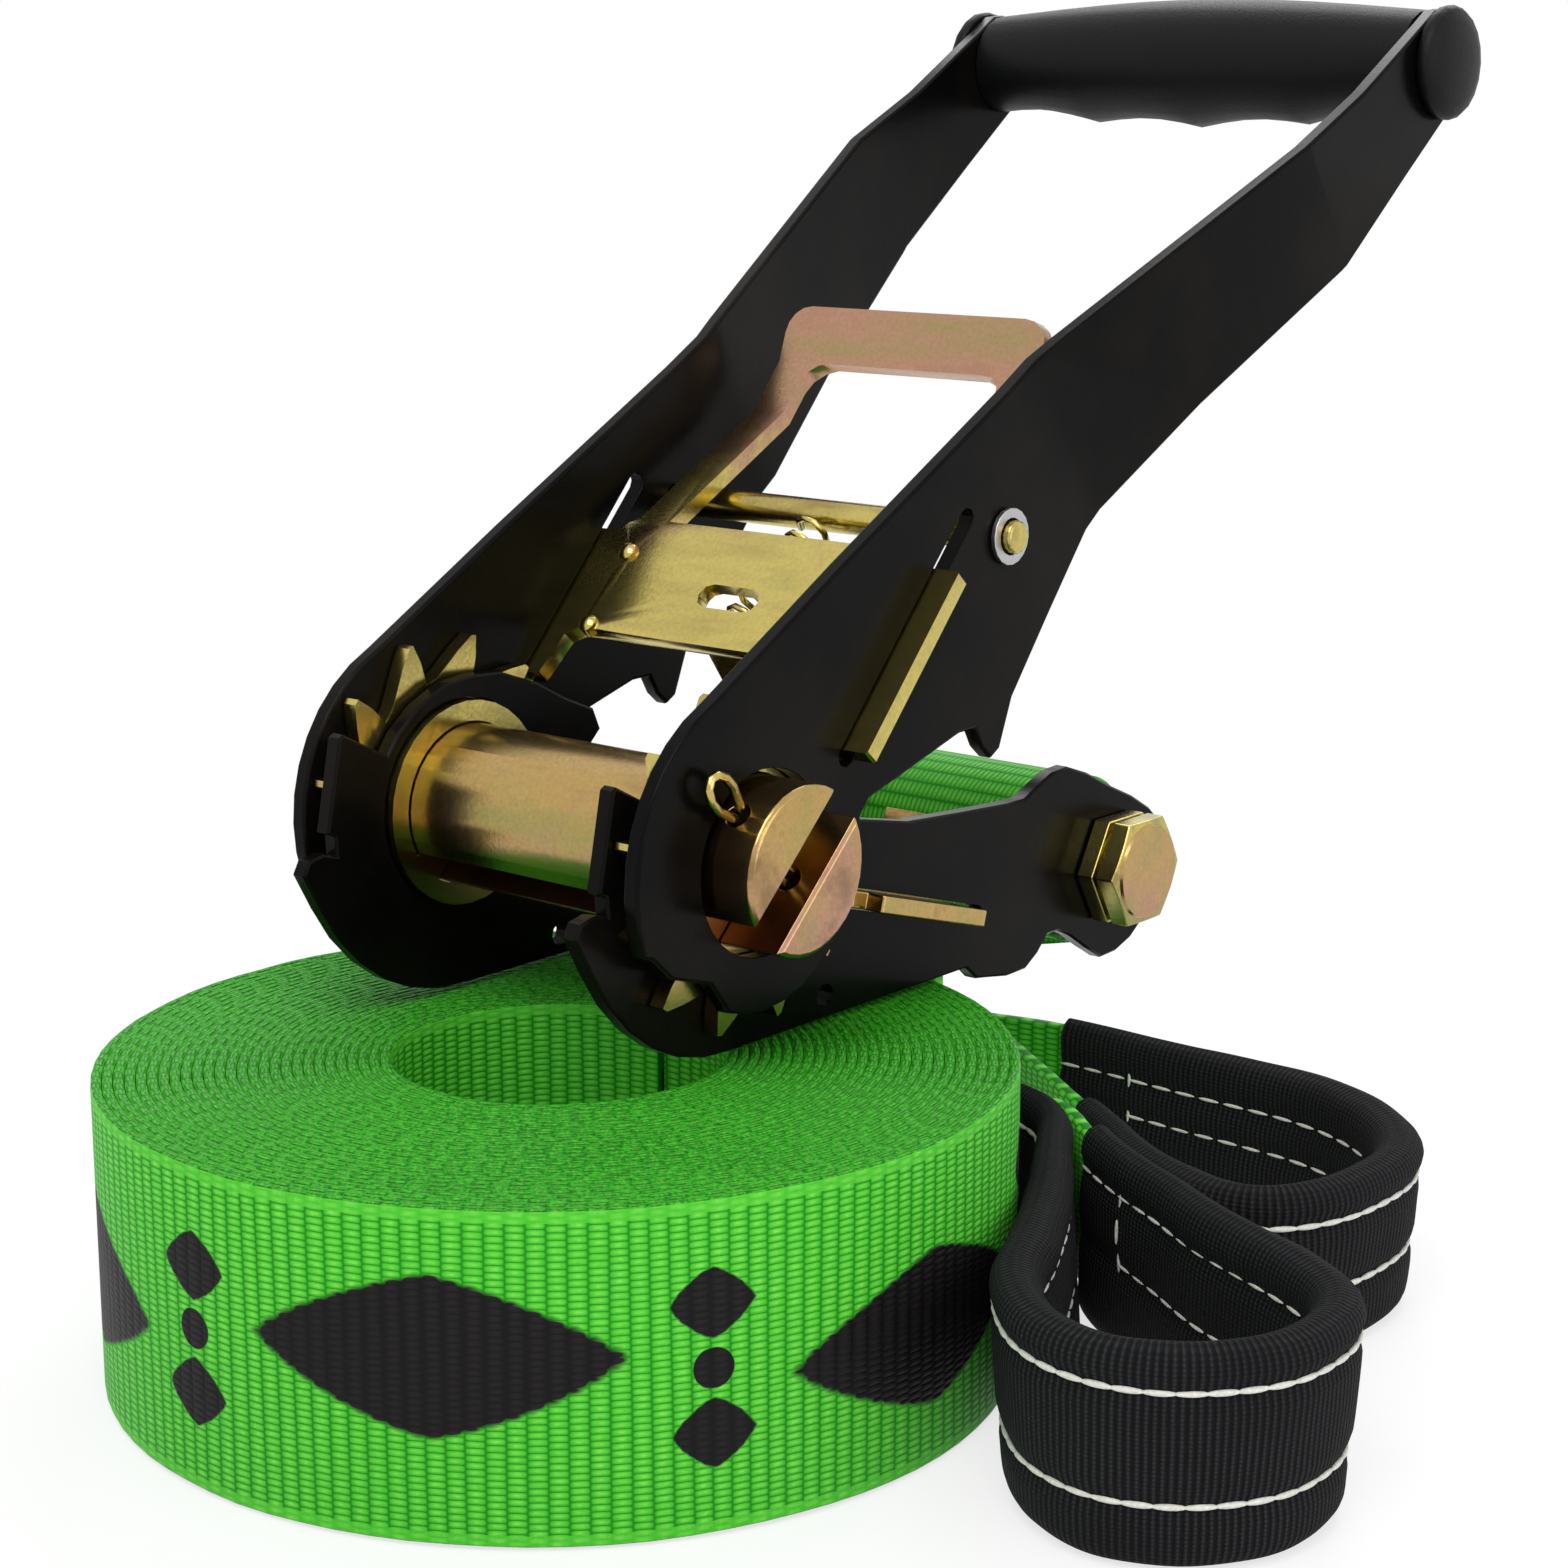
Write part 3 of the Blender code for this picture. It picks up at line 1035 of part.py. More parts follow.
def stand_on_origin(root):
    """Move the whole part so that the middle of its box is over the origin and it stands on z = 0."""
    bpy.context.view_layer.update()
    graph = bpy.context.evaluated_depsgraph_get()
    corners = []
    for item in bpy.data.objects:
        if item.type in {'MESH', 'CURVE'} and not item.hide_render:
            shown = item.evaluated_get(graph)
            mesh = shown.to_mesh()
            corners += [item.matrix_world @ vert.co for vert in mesh.vertices]
            shown.to_mesh_clear()
    low = Vector([min(c[axis] for c in corners) for axis in range(3)])
    high = Vector([max(c[axis] for c in corners) for axis in range(3)])
    root.location = (-(low.x + high.x) / 2, -(low.y + high.y) / 2, -low.z)
    bpy.context.view_layer.update()


def build():
    clear_scene()
    green = material("green_webbing", (0.042, 0.479, 0.029), 0.65, 0.0)
    black_fabric = material("black_sleeve", (0.010, 0.010, 0.011), 0.85, 0.0)
    black_steel = material("black_steel", (0.008, 0.008, 0.009), 0.30, 0.3)
    zinc = material("yellow_zinc", (0.55, 0.43, 0.20), 0.32, 1.0)
    silver = material("plain_steel", (0.55, 0.55, 0.56), 0.35, 1.0)
    plastic = material("grip_plastic", (0.012, 0.013, 0.015), 0.50, 0.0)
    dark = material("dark_steel", (0.02, 0.02, 0.02), 0.45, 0.8)

    root = empty("slackline_origin", Matrix.Identity(4))
    ratchet = empty("ratchet_axis", Matrix.Translation((RATCHET_X, RATCHET_Y, DRUM_HEIGHT))
                    @ Matrix.Rotation(RATCHET_YAW, 4, 'Z'), root)
    drum_axis = empty("drum_axis", Matrix.Identity(4), ratchet)
    handle = empty("handle_axis", Matrix.Rotation(-HANDLE_ANGLE, 4, 'Y'), ratchet)
    pawl_slide = empty("handle_pawl_slide", Matrix.Identity(4), handle)
    frame_slide = empty("frame_pawl_slide", Matrix.Identity(4), ratchet)

    webbing_roll(green, root)
    line = front_line()
    folded_webbing("line_end", line, FOLD_START_SHARE, FOLD_LIFT, SLEEVE_HEIGHT, FRONT_SIDE, green, root)
    padded_sleeve("front_sleeve", line, FRONT_SLEEVE_SHARES, FOLD_LIFT, SLEEVE_HEIGHT, FRONT_SIDE,
                  black_fabric, root)

    frame_plates(black_steel, ratchet)
    tail_fasteners(zinc, dark, ratchet)
    ratchet_strap(green, ratchet)
    bpy.context.view_layer.update()
    across = neck_end_across() - 4 * TOUCH_GAP
    neck_end = ratchet.matrix_world @ Vector((TAIL_REACH, across, 0.0))
    rear = rear_line((neck_end.x, neck_end.y))
    folded_webbing("rear_eye", rear, 0.0, REAR_FOLD_LIFT, REAR_SLEEVE_HEIGHT, -FRONT_SIDE, green, root)
    padded_sleeve("rear_sleeve", rear, REAR_SLEEVE_SHARES, REAR_FOLD_LIFT, REAR_SLEEVE_HEIGHT, -FRONT_SIDE,
                  black_fabric, root)

    drum(zinc, drum_axis)
    wheels(zinc, drum_axis)
    cotter_pins(zinc, drum_axis)
    handle_plates(black_steel, handle)
    handle_pin(zinc, silver, handle)
    grip(plastic, silver, handle)
    handle_pawl(zinc, pawl_slide, handle)
    frame_pawl(zinc, frame_slide, ratchet)
    stand_on_origin(root)


build()
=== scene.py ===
"""Looks for the slackline: woven webbing, padded sleeves with stitching, a painted and zinc-plated ratchet.

Run as a script in Blender.
"""
import json
from functools import partialmethod
from math import sin, cos, pi, radians, sqrt

import bpy
import bmesh
import numpy as np
from mathutils import Matrix, Vector, noise

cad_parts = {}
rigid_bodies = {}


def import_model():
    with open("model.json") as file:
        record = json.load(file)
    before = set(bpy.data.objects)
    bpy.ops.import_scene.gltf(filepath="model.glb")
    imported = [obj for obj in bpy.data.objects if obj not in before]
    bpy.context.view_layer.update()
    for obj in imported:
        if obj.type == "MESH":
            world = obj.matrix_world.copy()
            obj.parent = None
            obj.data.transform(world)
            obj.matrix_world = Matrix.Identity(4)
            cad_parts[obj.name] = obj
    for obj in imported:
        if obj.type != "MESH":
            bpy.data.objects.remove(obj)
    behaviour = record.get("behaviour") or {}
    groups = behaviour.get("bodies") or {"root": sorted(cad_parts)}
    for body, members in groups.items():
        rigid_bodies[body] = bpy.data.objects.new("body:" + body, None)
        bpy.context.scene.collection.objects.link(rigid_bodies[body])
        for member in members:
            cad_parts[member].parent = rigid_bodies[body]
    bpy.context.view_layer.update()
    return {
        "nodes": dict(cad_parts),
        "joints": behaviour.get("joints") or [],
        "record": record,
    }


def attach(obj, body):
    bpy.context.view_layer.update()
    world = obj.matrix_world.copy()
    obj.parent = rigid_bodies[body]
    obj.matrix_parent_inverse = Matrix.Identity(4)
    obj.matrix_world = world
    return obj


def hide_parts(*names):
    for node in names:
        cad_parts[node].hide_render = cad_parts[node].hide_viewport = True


bl_info = {
    "name": "Slackline Kit",
    "version": (1, 0, 0),
    "blender": (4, 5, 0),
    "location": "3D View > Sidebar > Slackline",
    "description": "Rolled webbing line with padded eyes and a long-handled ratchet",
    "category": "Add Mesh",
}

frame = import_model()
MM = 0.001


def joint_place(name):
    """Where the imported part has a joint."""
    for joint in frame["joints"]:
        if joint["name"] == name:
            return Vector(joint["pos_m"])
    raise RuntimeError("the packed part has no joint named " + name)


# Where the ratchet lies on the roll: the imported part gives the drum's axis, its source the rest
DRUM_AXIS = joint_place("drum_spin")
RATCHET_YAW = radians(50.0)
RATCHET_X = 3.8 * MM
RATCHET_Y = 16.7 * MM
ALONG_WAY = Vector((cos(RATCHET_YAW), sin(RATCHET_YAW), 0.0))
ACROSS_WAY = Vector((sin(RATCHET_YAW), -cos(RATCHET_YAW), 0.0))
ROLL_CENTRE = Vector((DRUM_AXIS.x - RATCHET_X, DRUM_AXIS.y - RATCHET_Y, 0.0))
TOUCH_GAP = 0.3 * MM

# The line in its roll, and how tightly the scene's turns fill it
ROLL_END_ANGLE = radians(54.0)
ROLL_INNER = 25.2 * MM
ROLL_OUTER = 72.25 * MM
ROLL_FILL = 0.93
ROLL_EDGE_ROOM = 1.0 * MM

# The webbing, flat and folded in half
WEB_WIDTH = 50.0 * MM
WEB_THICKNESS = 1.45 * MM
FOLD_WIDTH = 26.0 * MM
FOLD_THICKNESS = 2.7 * MM
FOLD_LIFT = 3.5 * MM
REAR_FOLD_LIFT = 1.5 * MM
FOLD_START_SHARE = 0.10
WEB_ROUND = 0.6 * MM

# Its woven edges, and the print on the roll
EDGE_BAND = 0.75 * MM
SELVEDGE = 2.4 * MM
EDGE_FLOAT_SHARE = 0.62
# How dark the painted shade between the turns' edges is, as a share of the yarn gap colour
EDGE_SHADE_SHARE = 0.45
PRINT_STAGGER = 6.0 * MM
DIAMOND_PLACE = 9.5 * MM
DIAMOND_LENGTH = 6.2 * MM
DIAMOND_HEIGHT = 5.2 * MM
DOT_RADIUS = 3.0 * MM
PRINT_FACE = 0.2 * MM
PRINT_MARGIN = 1.0 * MM

# The padded sleeves: their size, then how they swell, are drawn in at each stitch row, and fray
SLEEVE_HEIGHT = 33.0 * MM
REAR_SLEEVE_HEIGHT = 29.0 * MM
SLEEVE_THICKNESS = 8.0 * MM
SLEEVE_END_THICKNESS = 5.6 * MM
SLEEVE_TAPER_SHARE = 0.30
SLEEVE_WALL = 0.9 * MM
SLEEVE_AROUND = 26
RIM_SHARE = 0.13
RIM_LEAST_SHARE = 0.08
ROW_DRAW_SHARE = 0.22
ROW_DRAW_BASE = 2.718
ROW_DRAW_REACH = 1.5 * MM
LEAST_SWELL = 0.3 * MM
LEAST_SWELL_SHARE = 0.25
FULL_WAVE_SWELL = 2.0 * MM
WAVE_PLACES = (95.0, 3.2, 4.0)
TEAR_PLACES = (9.0, 5.0)
TEAR_SHARE = 0.4

# The stitch rows' heights on each face of the sleeves, and the thread
FRONT_OUTER_ROWS = (10.1 * MM, 27.0 * MM)
FRONT_INNER_ROWS = (15.0 * MM, 26.2 * MM)
REAR_OUTER_ROWS = (11.2 * MM, 23.0 * MM)
REAR_INNER_ROWS = (14.2 * MM, 21.0 * MM)
BOX_ROW_STEPS = 12
THIN_THREAD_SHARE = 0.62
THREAD_PROUD_SHARE = 0.3
LONG_STITCH_SHARE = 1.15
SHORT_STITCH_SHARE = 0.98

# Both sewn eyes: their lean, and their lines in plan as shares of their reach from the roll's centre
EYE_LEAN = 0.08
LEAN_START_SHARE = 0.13
LEAN_TAPER_SHARE = 0.18
EYE_REACH = 80.0 * MM
EYE_STEP = 1.5 * MM
CURVE_STEPS = 16
LEAST_STEPS = 4
FRONT_EYE_SHARES = (
    (0.735, 0.580), (0.840, 0.510), (0.925, 0.435), (0.978, 0.345), (0.992, 0.250), (0.979, 0.120),
    (0.957, -0.062), (0.932, -0.225), (0.892, -0.412), (0.850, -0.600), (0.872, -0.790), (0.960, -0.917),
    (1.090, -0.966), (1.215, -0.950), (1.309, -0.897), (1.392, -0.785), (1.410, -0.675), (1.368, -0.546),
    (1.300, -0.415), (1.244, -0.310), (1.182, -0.152), (1.120, -0.003), (1.081, 0.117), (1.068, 0.210),
    (1.056, 0.300), (1.036, 0.396), (0.990, 0.480), (0.913, 0.554),
)
FRONT_SLEEVE_SHARES = (0.122, 0.886)
REAR_EYE_SHARES = (
    (0.860, 1.193), (0.909, 1.160), (0.965, 1.132), (1.032, 1.098), (1.102, 1.050), (1.185, 0.982),
    (1.270, 0.905), (1.365, 0.825), (1.465, 0.746), (1.562, 0.661), (1.641, 0.556), (1.692, 0.430),
    (1.708, 0.305), (1.682, 0.185), (1.613, 0.078), (1.525, -0.012), (1.432, -0.062), (1.350, -0.065),
    (1.280, -0.022), (1.224, 0.060), (1.180, 0.150), (1.148, 0.240), (1.126, 0.335), (1.098, 0.435),
    (1.060, 0.560), (1.024, 0.700), (0.988, 0.830), (0.955, 0.950), (0.925, 1.040), (0.900, 1.085),
)
REAR_SLEEVE_SHARES = (0.105, 0.800)

# The tail bolt, the strap round its spacer, and the strap's neck
TAIL_REACH = 102.5 * MM
TAIL_DROP = 20.9 * MM
SPACER_RADIUS = 11.8 * MM
STRAP_WRAP = 3.0 * MM
WRAP_SIDES = 72
STRAP_NECK = 3.2 * MM
NECK_END_ACROSS = WEB_WIDTH / 2 - FOLD_WIDTH * 0.70
NECK_GATHER = 9.0 * MM
NECK_ROUND = 0.6 * MM
BOLT_FACE_RADIUS = 8.7 * MM
BOLT_FACE_BEVEL = 0.5 * MM
BOLT_FACE_DEPTH = 0.7 * MM
BOLT_FACE_PROUD = 0.1 * MM
BOLT_FACE_SIDES = 48

# Edges of the metal pieces, the angles past which shading breaks, and the copies' clean-up
PLATED_EDGE = 0.25 * MM
WASHER_EDGE = 0.15 * MM
SHARP, CLOTH_SHARP, SLEEVE_SHARP, NECK_SHARP = 32.0, 50.0, 60.0, 40.0
PAWL_SHARP, WIRE_SHARP, GRIP_SHARP, FACE_SHARP = 55.0, 60.0, 45.0, 30.0
BEVEL_ANGLE = 40.0
MERGE_REACH = 0.002 * MM
FLAT_ANGLE = 0.5

# The finishes: heights over which one zinc tone turns into the next, streaks, and fine reliefs
PAWL_TONE_RISE = 50.0 * MM
PALE_SPREAD, DRUM_SPREAD, TAIL_SPREAD, FACE_SPREAD = 20.0 * MM, 12.0 * MM, 14.0 * MM, 16.0 * MM
STREAK_STRETCH = 0.22
FINE_RELIEF, THREAD_RELIEF, GRIP_RELIEF = 0.02 * MM, 0.2 * MM, 0.06 * MM
# The tint of the painted brown reflection on the black paint
REFLECTION_BROWN_TINT = (0.0060, 0.0042, 0.0028)

# The stage; a lamp has its name, its place, its size and its share of the main lamp's power
CAMERA_ASIDE = 35.3 * MM
SENSOR_WIDTH = 36.0
CLIP_START = 10.0 * MM
FLOOR_REACH = 12.0
FLOOR_FADE_START = 0.16
FLOOR_FADE_RATE = 3.2
FLOOR_NEAR_SHARE = 0.72
AIM = Vector((0.0, 0.0, 0.08))
LAMPS = (("key", (-0.15, -0.80, 1.20), 0.9, 1.0), ("fill", (0.95, -0.75, 0.45), 0.9, 0.30),
         ("rim", (0.25, 0.95, 1.0), 0.8, 0.6))
WHITE = (1.0, 1.0, 1.0, 1.0)


class Number:
    """A number inside a node tree: arithmetic on it adds Math nodes."""

    def __init__(self, graph, socket):
        self.graph = graph
        self.socket = socket

    def maths(self, operation, *others, clamp=False):
        return self.graph.maths(operation, self, *others, clamp=clamp)

    def __rsub__(self, other):
        return self.graph.maths("SUBTRACT", other, self)

    __add__ = __radd__ = partialmethod(maths, "ADD")
    __sub__ = partialmethod(maths, "SUBTRACT")
    __mul__ = partialmethod(maths, "MULTIPLY")
    __truediv__ = partialmethod(maths, "DIVIDE")
    __pow__ = partialmethod(maths, "POWER")
    size = partialmethod(maths, "ABSOLUTE")
    over = partialmethod(maths, "GREATER_THAN")
    under = partialmethod(maths, "LESS_THAN")
    clamped = partialmethod(maths, "ADD", 0.0, clamp=True)


class Graph:
    """A node tree being written, for a finish or for repeated pieces."""

    def __init__(self, tree):
        self.tree = tree

    def node(self, kind, settings=None, sockets=None):
        """Add any node: its settings first, then the values or links of its sockets."""
        made = self.tree.nodes.new(kind)
        for name, value in (settings or {}).items():
            setattr(made, name, value)
        for name, value in (sockets or {}).items():
            self.feed(made.inputs[name], value)
        return made

    def feed(self, socket, value):
        """Link a socket to a value that varies, or set it."""
        if isinstance(value, Number):
            value = value.socket
        if isinstance(value, bpy.types.NodeSocket):
            self.tree.links.new(value, socket)
        else:
            socket.default_value = value

    def output(self, kind, settings=None, sockets=None, out=0):
        return self.node(kind, settings, sockets).outputs[out]

    def number(self, kind, settings=None, sockets=None, out=0):
        return Number(self, self.output(kind, settings, sockets, out))

    def maths(self, operation, *values, clamp=False):
        settings = {"operation": operation, "use_clamp": clamp}
        return self.number("ShaderNodeMath", settings, dict(enumerate(values)))

    def vector(self, operation, *values, out=0):
        return self.output("ShaderNodeVectorMath", {"operation": operation}, dict(enumerate(values)), out)

    def geometry(self, kind, sockets=None, out=0, **settings):
        """An output of a Geometry Nodes node, named without its prefix."""
        return self.output("GeometryNode" + kind, settings, sockets, out)

    def blend(self, share, one, two):
        """Mix two colours."""
        sockets = {0: share, 6: one, 7: two}
        return self.output("ShaderNodeMix", {"data_type": "RGBA"}, sockets, 2)

    def seen_directly(self):
        """One for rays from the camera, a mirror or glass, which see a white background."""
        rays = self.node("ShaderNodeLightPath").outputs
        camera, glossy, through = (Number(self, rays["Is " + kind + " Ray"])
                                   for kind in ("Camera", "Glossy", "Transmission"))
        return (camera + glossy + through).clamped()


class Finish(Graph):
    """A material being written."""

    def __init__(self, name):
        self.material = bpy.data.materials.new(name)
        self.material.use_nodes = True
        super().__init__(self.material.node_tree)
        self.shader = self.tree.nodes["Principled BSDF"]
        self.place = self.output("ShaderNodeTexCoord", out=3)

    def attribute(self, name):
        return self.number("ShaderNodeAttribute", {"attribute_name": name}, out=2)

    def noise(self, scale, detail=2.0, roughness=0.5, place=None):
        sockets = {"Vector": self.place if place is None else place, "Scale": scale,
                   "Detail": detail, "Roughness": roughness}
        return self.number("ShaderNodeTexNoise", None, sockets)

    def surface(self, colour, rough, relief=None, metallic=0.0, specular=0.5):
        """Set the shader's sockets; a relief is a height that varies and the depth it stands for."""
        values = {"Base Color": colour, "Roughness": rough, "Metallic": metallic,
                  "Specular IOR Level": specular}
        if relief:
            height, depth = relief
            values["Normal"] = self.output("ShaderNodeBump", None, {
                "Strength": 1.0, "Distance": depth, "Height": height})
        for name, value in values.items():
            self.feed(self.shader.inputs[name], value)
        return self.material


def rgba(colour, strength=1.0):
    return (*(strength * channel for channel in colour[:3]), 1.0)


def colour_property(name, description, default):
    return bpy.props.FloatVectorProperty(name=name, description=description, subtype='COLOR', size=3,
                                         min=0.0, max=1.0, default=default)


def length_property(name, description, default):
    return bpy.props.FloatProperty(name=name, description=description, unit='LENGTH', precision=5,
                                   min=0.0, default=default)


class WebbingSettings(bpy.types.PropertyGroup):
    turns: bpy.props.IntProperty(name="Turns", description="Turns of webbing in the roll", default=27, min=5)
    stitch_column: length_property("Float Length", "Length of one float of the weave", 2.8 * MM)
    stitch_rise: length_property("Float Height", "Height of one float of the weave", 1.04 * MM)
    relief: length_property("Relief", "Depth of the weave", 0.16 * MM)
    waviness: length_property("Waviness", "How far the roll's edges stray", 0.28 * MM)
    base: colour_property("Webbing", "Colour of the yarn", (0.034, 0.420, 0.014))
    # The crown colour is a painted highlight on the floats' tops, and the gap colour is painted shade
    # between the floats.
    light: colour_property("Yarn Crown Highlight", "Colour on the crowns of the floats", (0.200, 0.700, 0.080))
    shade: colour_property("Yarn Gap Shade", "Colour between the floats", (0.006, 0.170, 0.003))
    ink: colour_property("Print", "Colour of the printed pattern", (0.011, 0.008, 0.010))
    # The print gap colour is painted shade on the print between the floats.
    ink_gap_shade: colour_property("Print Gap Shade", "Colour of the print between floats", (0.003, 0.0025, 0.003))
    print_spacing: length_property("Print Spacing", "Distance between printed lozenges", 78.0 * MM)
    print_length: length_property("Print Length", "Half length of a printed lozenge", 27.0 * MM)
    print_height: length_property("Print Height", "Half height of a printed lozenge", 12.0 * MM)


class SleeveSettings(bpy.types.PropertyGroup):
    rib: length_property("Rib", "Distance between the ribs of the sleeve's fabric", 1.05 * MM)
    relief: length_property("Rib Relief", "Depth of the ribs", 0.42 * MM)
    drift: length_property("Rib Drift", "How far the ribs stray", 0.5 * MM)
    cloth: colour_property("Cloth", "Colour of the sleeve", (0.0035, 0.0035, 0.0040))
    # The rib crown colour is a painted highlight on the ribs' tops.
    crown: colour_property("Rib Crown Highlight", "Colour on the crowns of the ribs", (0.034, 0.035, 0.039))
    thread: colour_property("Thread", "Colour of the sewing thread", (0.80, 0.79, 0.72))
    thread_radius: length_property("Thread Radius", "Radius of the sewing thread", 0.50 * MM)
    stitch: length_property("Stitch", "Length of one stitch", 4.3 * MM)
    box_inset: length_property("Box Inset", "From a sleeve's end to its upright stitches", 15.0 * MM)
    ripple: length_property("Ripple", "How far the padding swells and sinks", 0.30 * MM)
    ragged: length_property("Ragged Edge", "How uneven the sleeve's cut ends are", 0.9 * MM)


class MetalSettings(bpy.types.PropertyGroup):
    paint: colour_property("Paint", "Colour of the painted plates", (0.0022, 0.0021, 0.0021))
    paint_gloss: bpy.props.FloatProperty(name="Paint Roughness", description="Roughness of the paint",
                                         default=0.20, min=0.0, max=1.0)
    gold: colour_property("Chromate Gold", "Main tone of the zinc plating", (0.55, 0.37, 0.13))
    green: colour_property("Chromate Green", "Green tone of the zinc plating", (0.34, 0.34, 0.11))
    rose: colour_property("Chromate Rose", "Rose tone of the zinc plating", (0.52, 0.29, 0.19))
    lemon: colour_property("Chromate Lemon", "Palest tone of the zinc plating", (0.66, 0.55, 0.16))
    umber: colour_property("Chromate Umber", "Darkest tone of the zinc plating", (0.16, 0.095, 0.045))
    steel: colour_property("Steel", "Colour of plain steel", (0.55, 0.55, 0.56))
    dark_steel: colour_property("Dark Steel", "Colour of the blackened washer", (0.03, 0.03, 0.03))
    plastic: colour_property("Grip", "Colour of the moulded grip", (0.0030, 0.0032, 0.0036))
    edge: length_property("Edge Round", "Round on the edges of the plates", 0.35 * MM)


class StageSettings(bpy.types.PropertyGroup):
    lens: bpy.props.FloatProperty(name="Lens", description="Focal length", default=72.3, unit='CAMERA')
    distance: length_property("Camera Distance", "From the roll's middle to the camera", 469.7 * MM)
    height: length_property("Camera Height", "Height of the camera", 197.0 * MM)
    tilt: bpy.props.FloatProperty(name="Camera Tilt", description="How far the camera looks down",
                                  subtype='ANGLE', default=0.2201)
    floor: colour_property("Floor", "Colour of the floor", (0.93, 0.93, 0.93))
    key: bpy.props.FloatProperty(name="Key Light", description="Power of the main lamp", default=11.0,
                                 min=0.0)
    sky: bpy.props.FloatProperty(name="Sky", description="Strength of the surrounding light", default=0.62,
                                 min=0.0)


def webbing_finish(name, printed):
    """Brick-laid floats of green yarn with a painted highlight on their crowns and painted shade between
    them, and on the roll a printed row of lozenges.
    """
    look = bpy.context.scene.slackline_webbing
    finish = Finish(name)
    along, across, side = (finish.attribute(key) for key in ("along", "across", "side"))
    column = along / look.stitch_column
    stagger = column.maths("FLOOR").maths("FLOORED_MODULO", 2.0) * 0.5
    place = column.maths("FRACT") - 0.5
    edge = across.size().over(WEB_WIDTH / 2 - EDGE_BAND)
    selvedge = across.size().over(WEB_WIDTH / 2 - SELVEDGE) * (1 - edge)
    row = across / look.stitch_rise + stagger
    edge_row = side / (EDGE_FLOAT_SHARE * look.stitch_rise) + stagger
    rise = (row * (1 - edge) + edge_row * edge).maths("FRACT") - 0.5
    float_shape = (1 - (place * place) * 4.0) * (1 - (rise * rise) * 4.0)
    crown = (float_shape * (1 - selvedge * 0.55) + selvedge * 0.42).clamped()
    patch = finish.noise(900.0, 3.0, 0.6)
    broad = finish.noise(28.0, 2.0)
    # Painted shade and painted highlight: the yarn is darkened toward the gap colour between the floats and
    # lightened toward the crown colour on their tops, in noisy patches of shine.
    colour = finish.blend((crown * 2.4 + 0.12).clamped(), rgba(look.shade), rgba(look.base))
    shine = (crown ** 1.8) * (patch * 1.5) * (0.55 + broad * 0.7)
    colour = finish.blend(shine.clamped(), colour, rgba(look.light))
    # On the strap's edges, which form the roll's top and bottom: a fine speckle for the warp yarns, darkened
    # toward a dimmer copy of the gap colour as painted shade between the turns.
    speckle = ((finish.noise(1700.0, 2.0, 0.6) - 0.46) * 7.0).clamped()
    edge_warps_and_shade = finish.blend(speckle, rgba(look.shade, EDGE_SHADE_SHARE), rgba(look.base))
    colour = finish.blend(edge * 0.62, colour, edge_warps_and_shade)
    rough = 0.60 - crown * 0.12
    if printed:
        ink = print_share(finish, along, across, side, crown)
        # The print is its ink colour on the floats' crowns and painted shade in the gaps between them.
        black = finish.blend(((crown - 0.3) * 1.4).clamped(), rgba(look.ink_gap_shade), rgba(look.ink))
        colour = finish.blend(ink, colour, black)
        rough = rough * (1 - ink) + ink * 0.55
    return finish.surface(colour, rough, (crown + patch * 0.35, look.relief), specular=0.15)


def print_share(finish, along, across, side, crown):
    """Where the print lies: large lozenges in a row, with two diamonds and a dot between them."""
    look = bpy.context.scene.slackline_webbing
    unit = along / look.print_spacing
    odd = unit.maths("FLOOR").maths("FLOORED_MODULO", 2.0)
    aside = ((unit.maths("FRACT") - 0.5) * look.print_spacing).size()
    above = across + (odd - 0.5) * PRINT_STAGGER
    between = (look.print_spacing / 2 - aside).size()
    height = across.size()
    lozenge = (aside / look.print_length) ** 1.25 + (above.size() / look.print_height) ** 1.25
    diamond = ((between / DIAMOND_LENGTH) ** 1.3
               + ((height - DIAMOND_PLACE).size() / DIAMOND_HEIGHT) ** 1.3)
    dot = (between / DOT_RADIUS) ** 2 + (across / DOT_RADIUS) ** 2
    shape = lozenge.maths("MINIMUM", diamond).maths("MINIMUM", dot)
    ink = ((1.03 + (crown - 0.5) * 0.05 - shape) * 14.0).clamped()
    return ink * (side.over(PRINT_FACE) * height.under(WEB_WIDTH / 2 - PRINT_MARGIN))


def sleeve_finish(name):
    """Black ribbed nylon: upright ribs with a fine weave across them, and a painted highlight on the ribs'
    crowns.
    """
    look = bpy.context.scene.slackline_sleeve
    finish = Finish(name)
    along, across = finish.attribute("along"), finish.attribute("across")
    stray = finish.noise(60.0, 2.0) * look.drift
    rib = ((along + stray) * (2 * pi / look.rib)).maths("COSINE") * 0.5 + 0.5
    cross = (across * (2 * pi / (0.62 * look.rib))).maths("COSINE") * 0.5 + 0.5
    fuzz = finish.noise(2600.0, 2.0)
    # Painted highlight: the cloth is lightened toward the crown colour on the ribs' tops, more strongly in
    # noisy patches.
    rib_sheen_patches = finish.noise(45.0, 3.0)
    share = ((rib ** 1.4) * (0.40 + cross * 0.40) * (0.35 + rib_sheen_patches * 1.1) * (0.5 + fuzz)).clamped()
    colour = finish.blend(share, rgba(look.cloth), rgba(look.crown))
    height = rib + cross * 0.3 + fuzz * 0.25
    return finish.surface(colour, 0.85, (height, look.relief), specular=0.12)


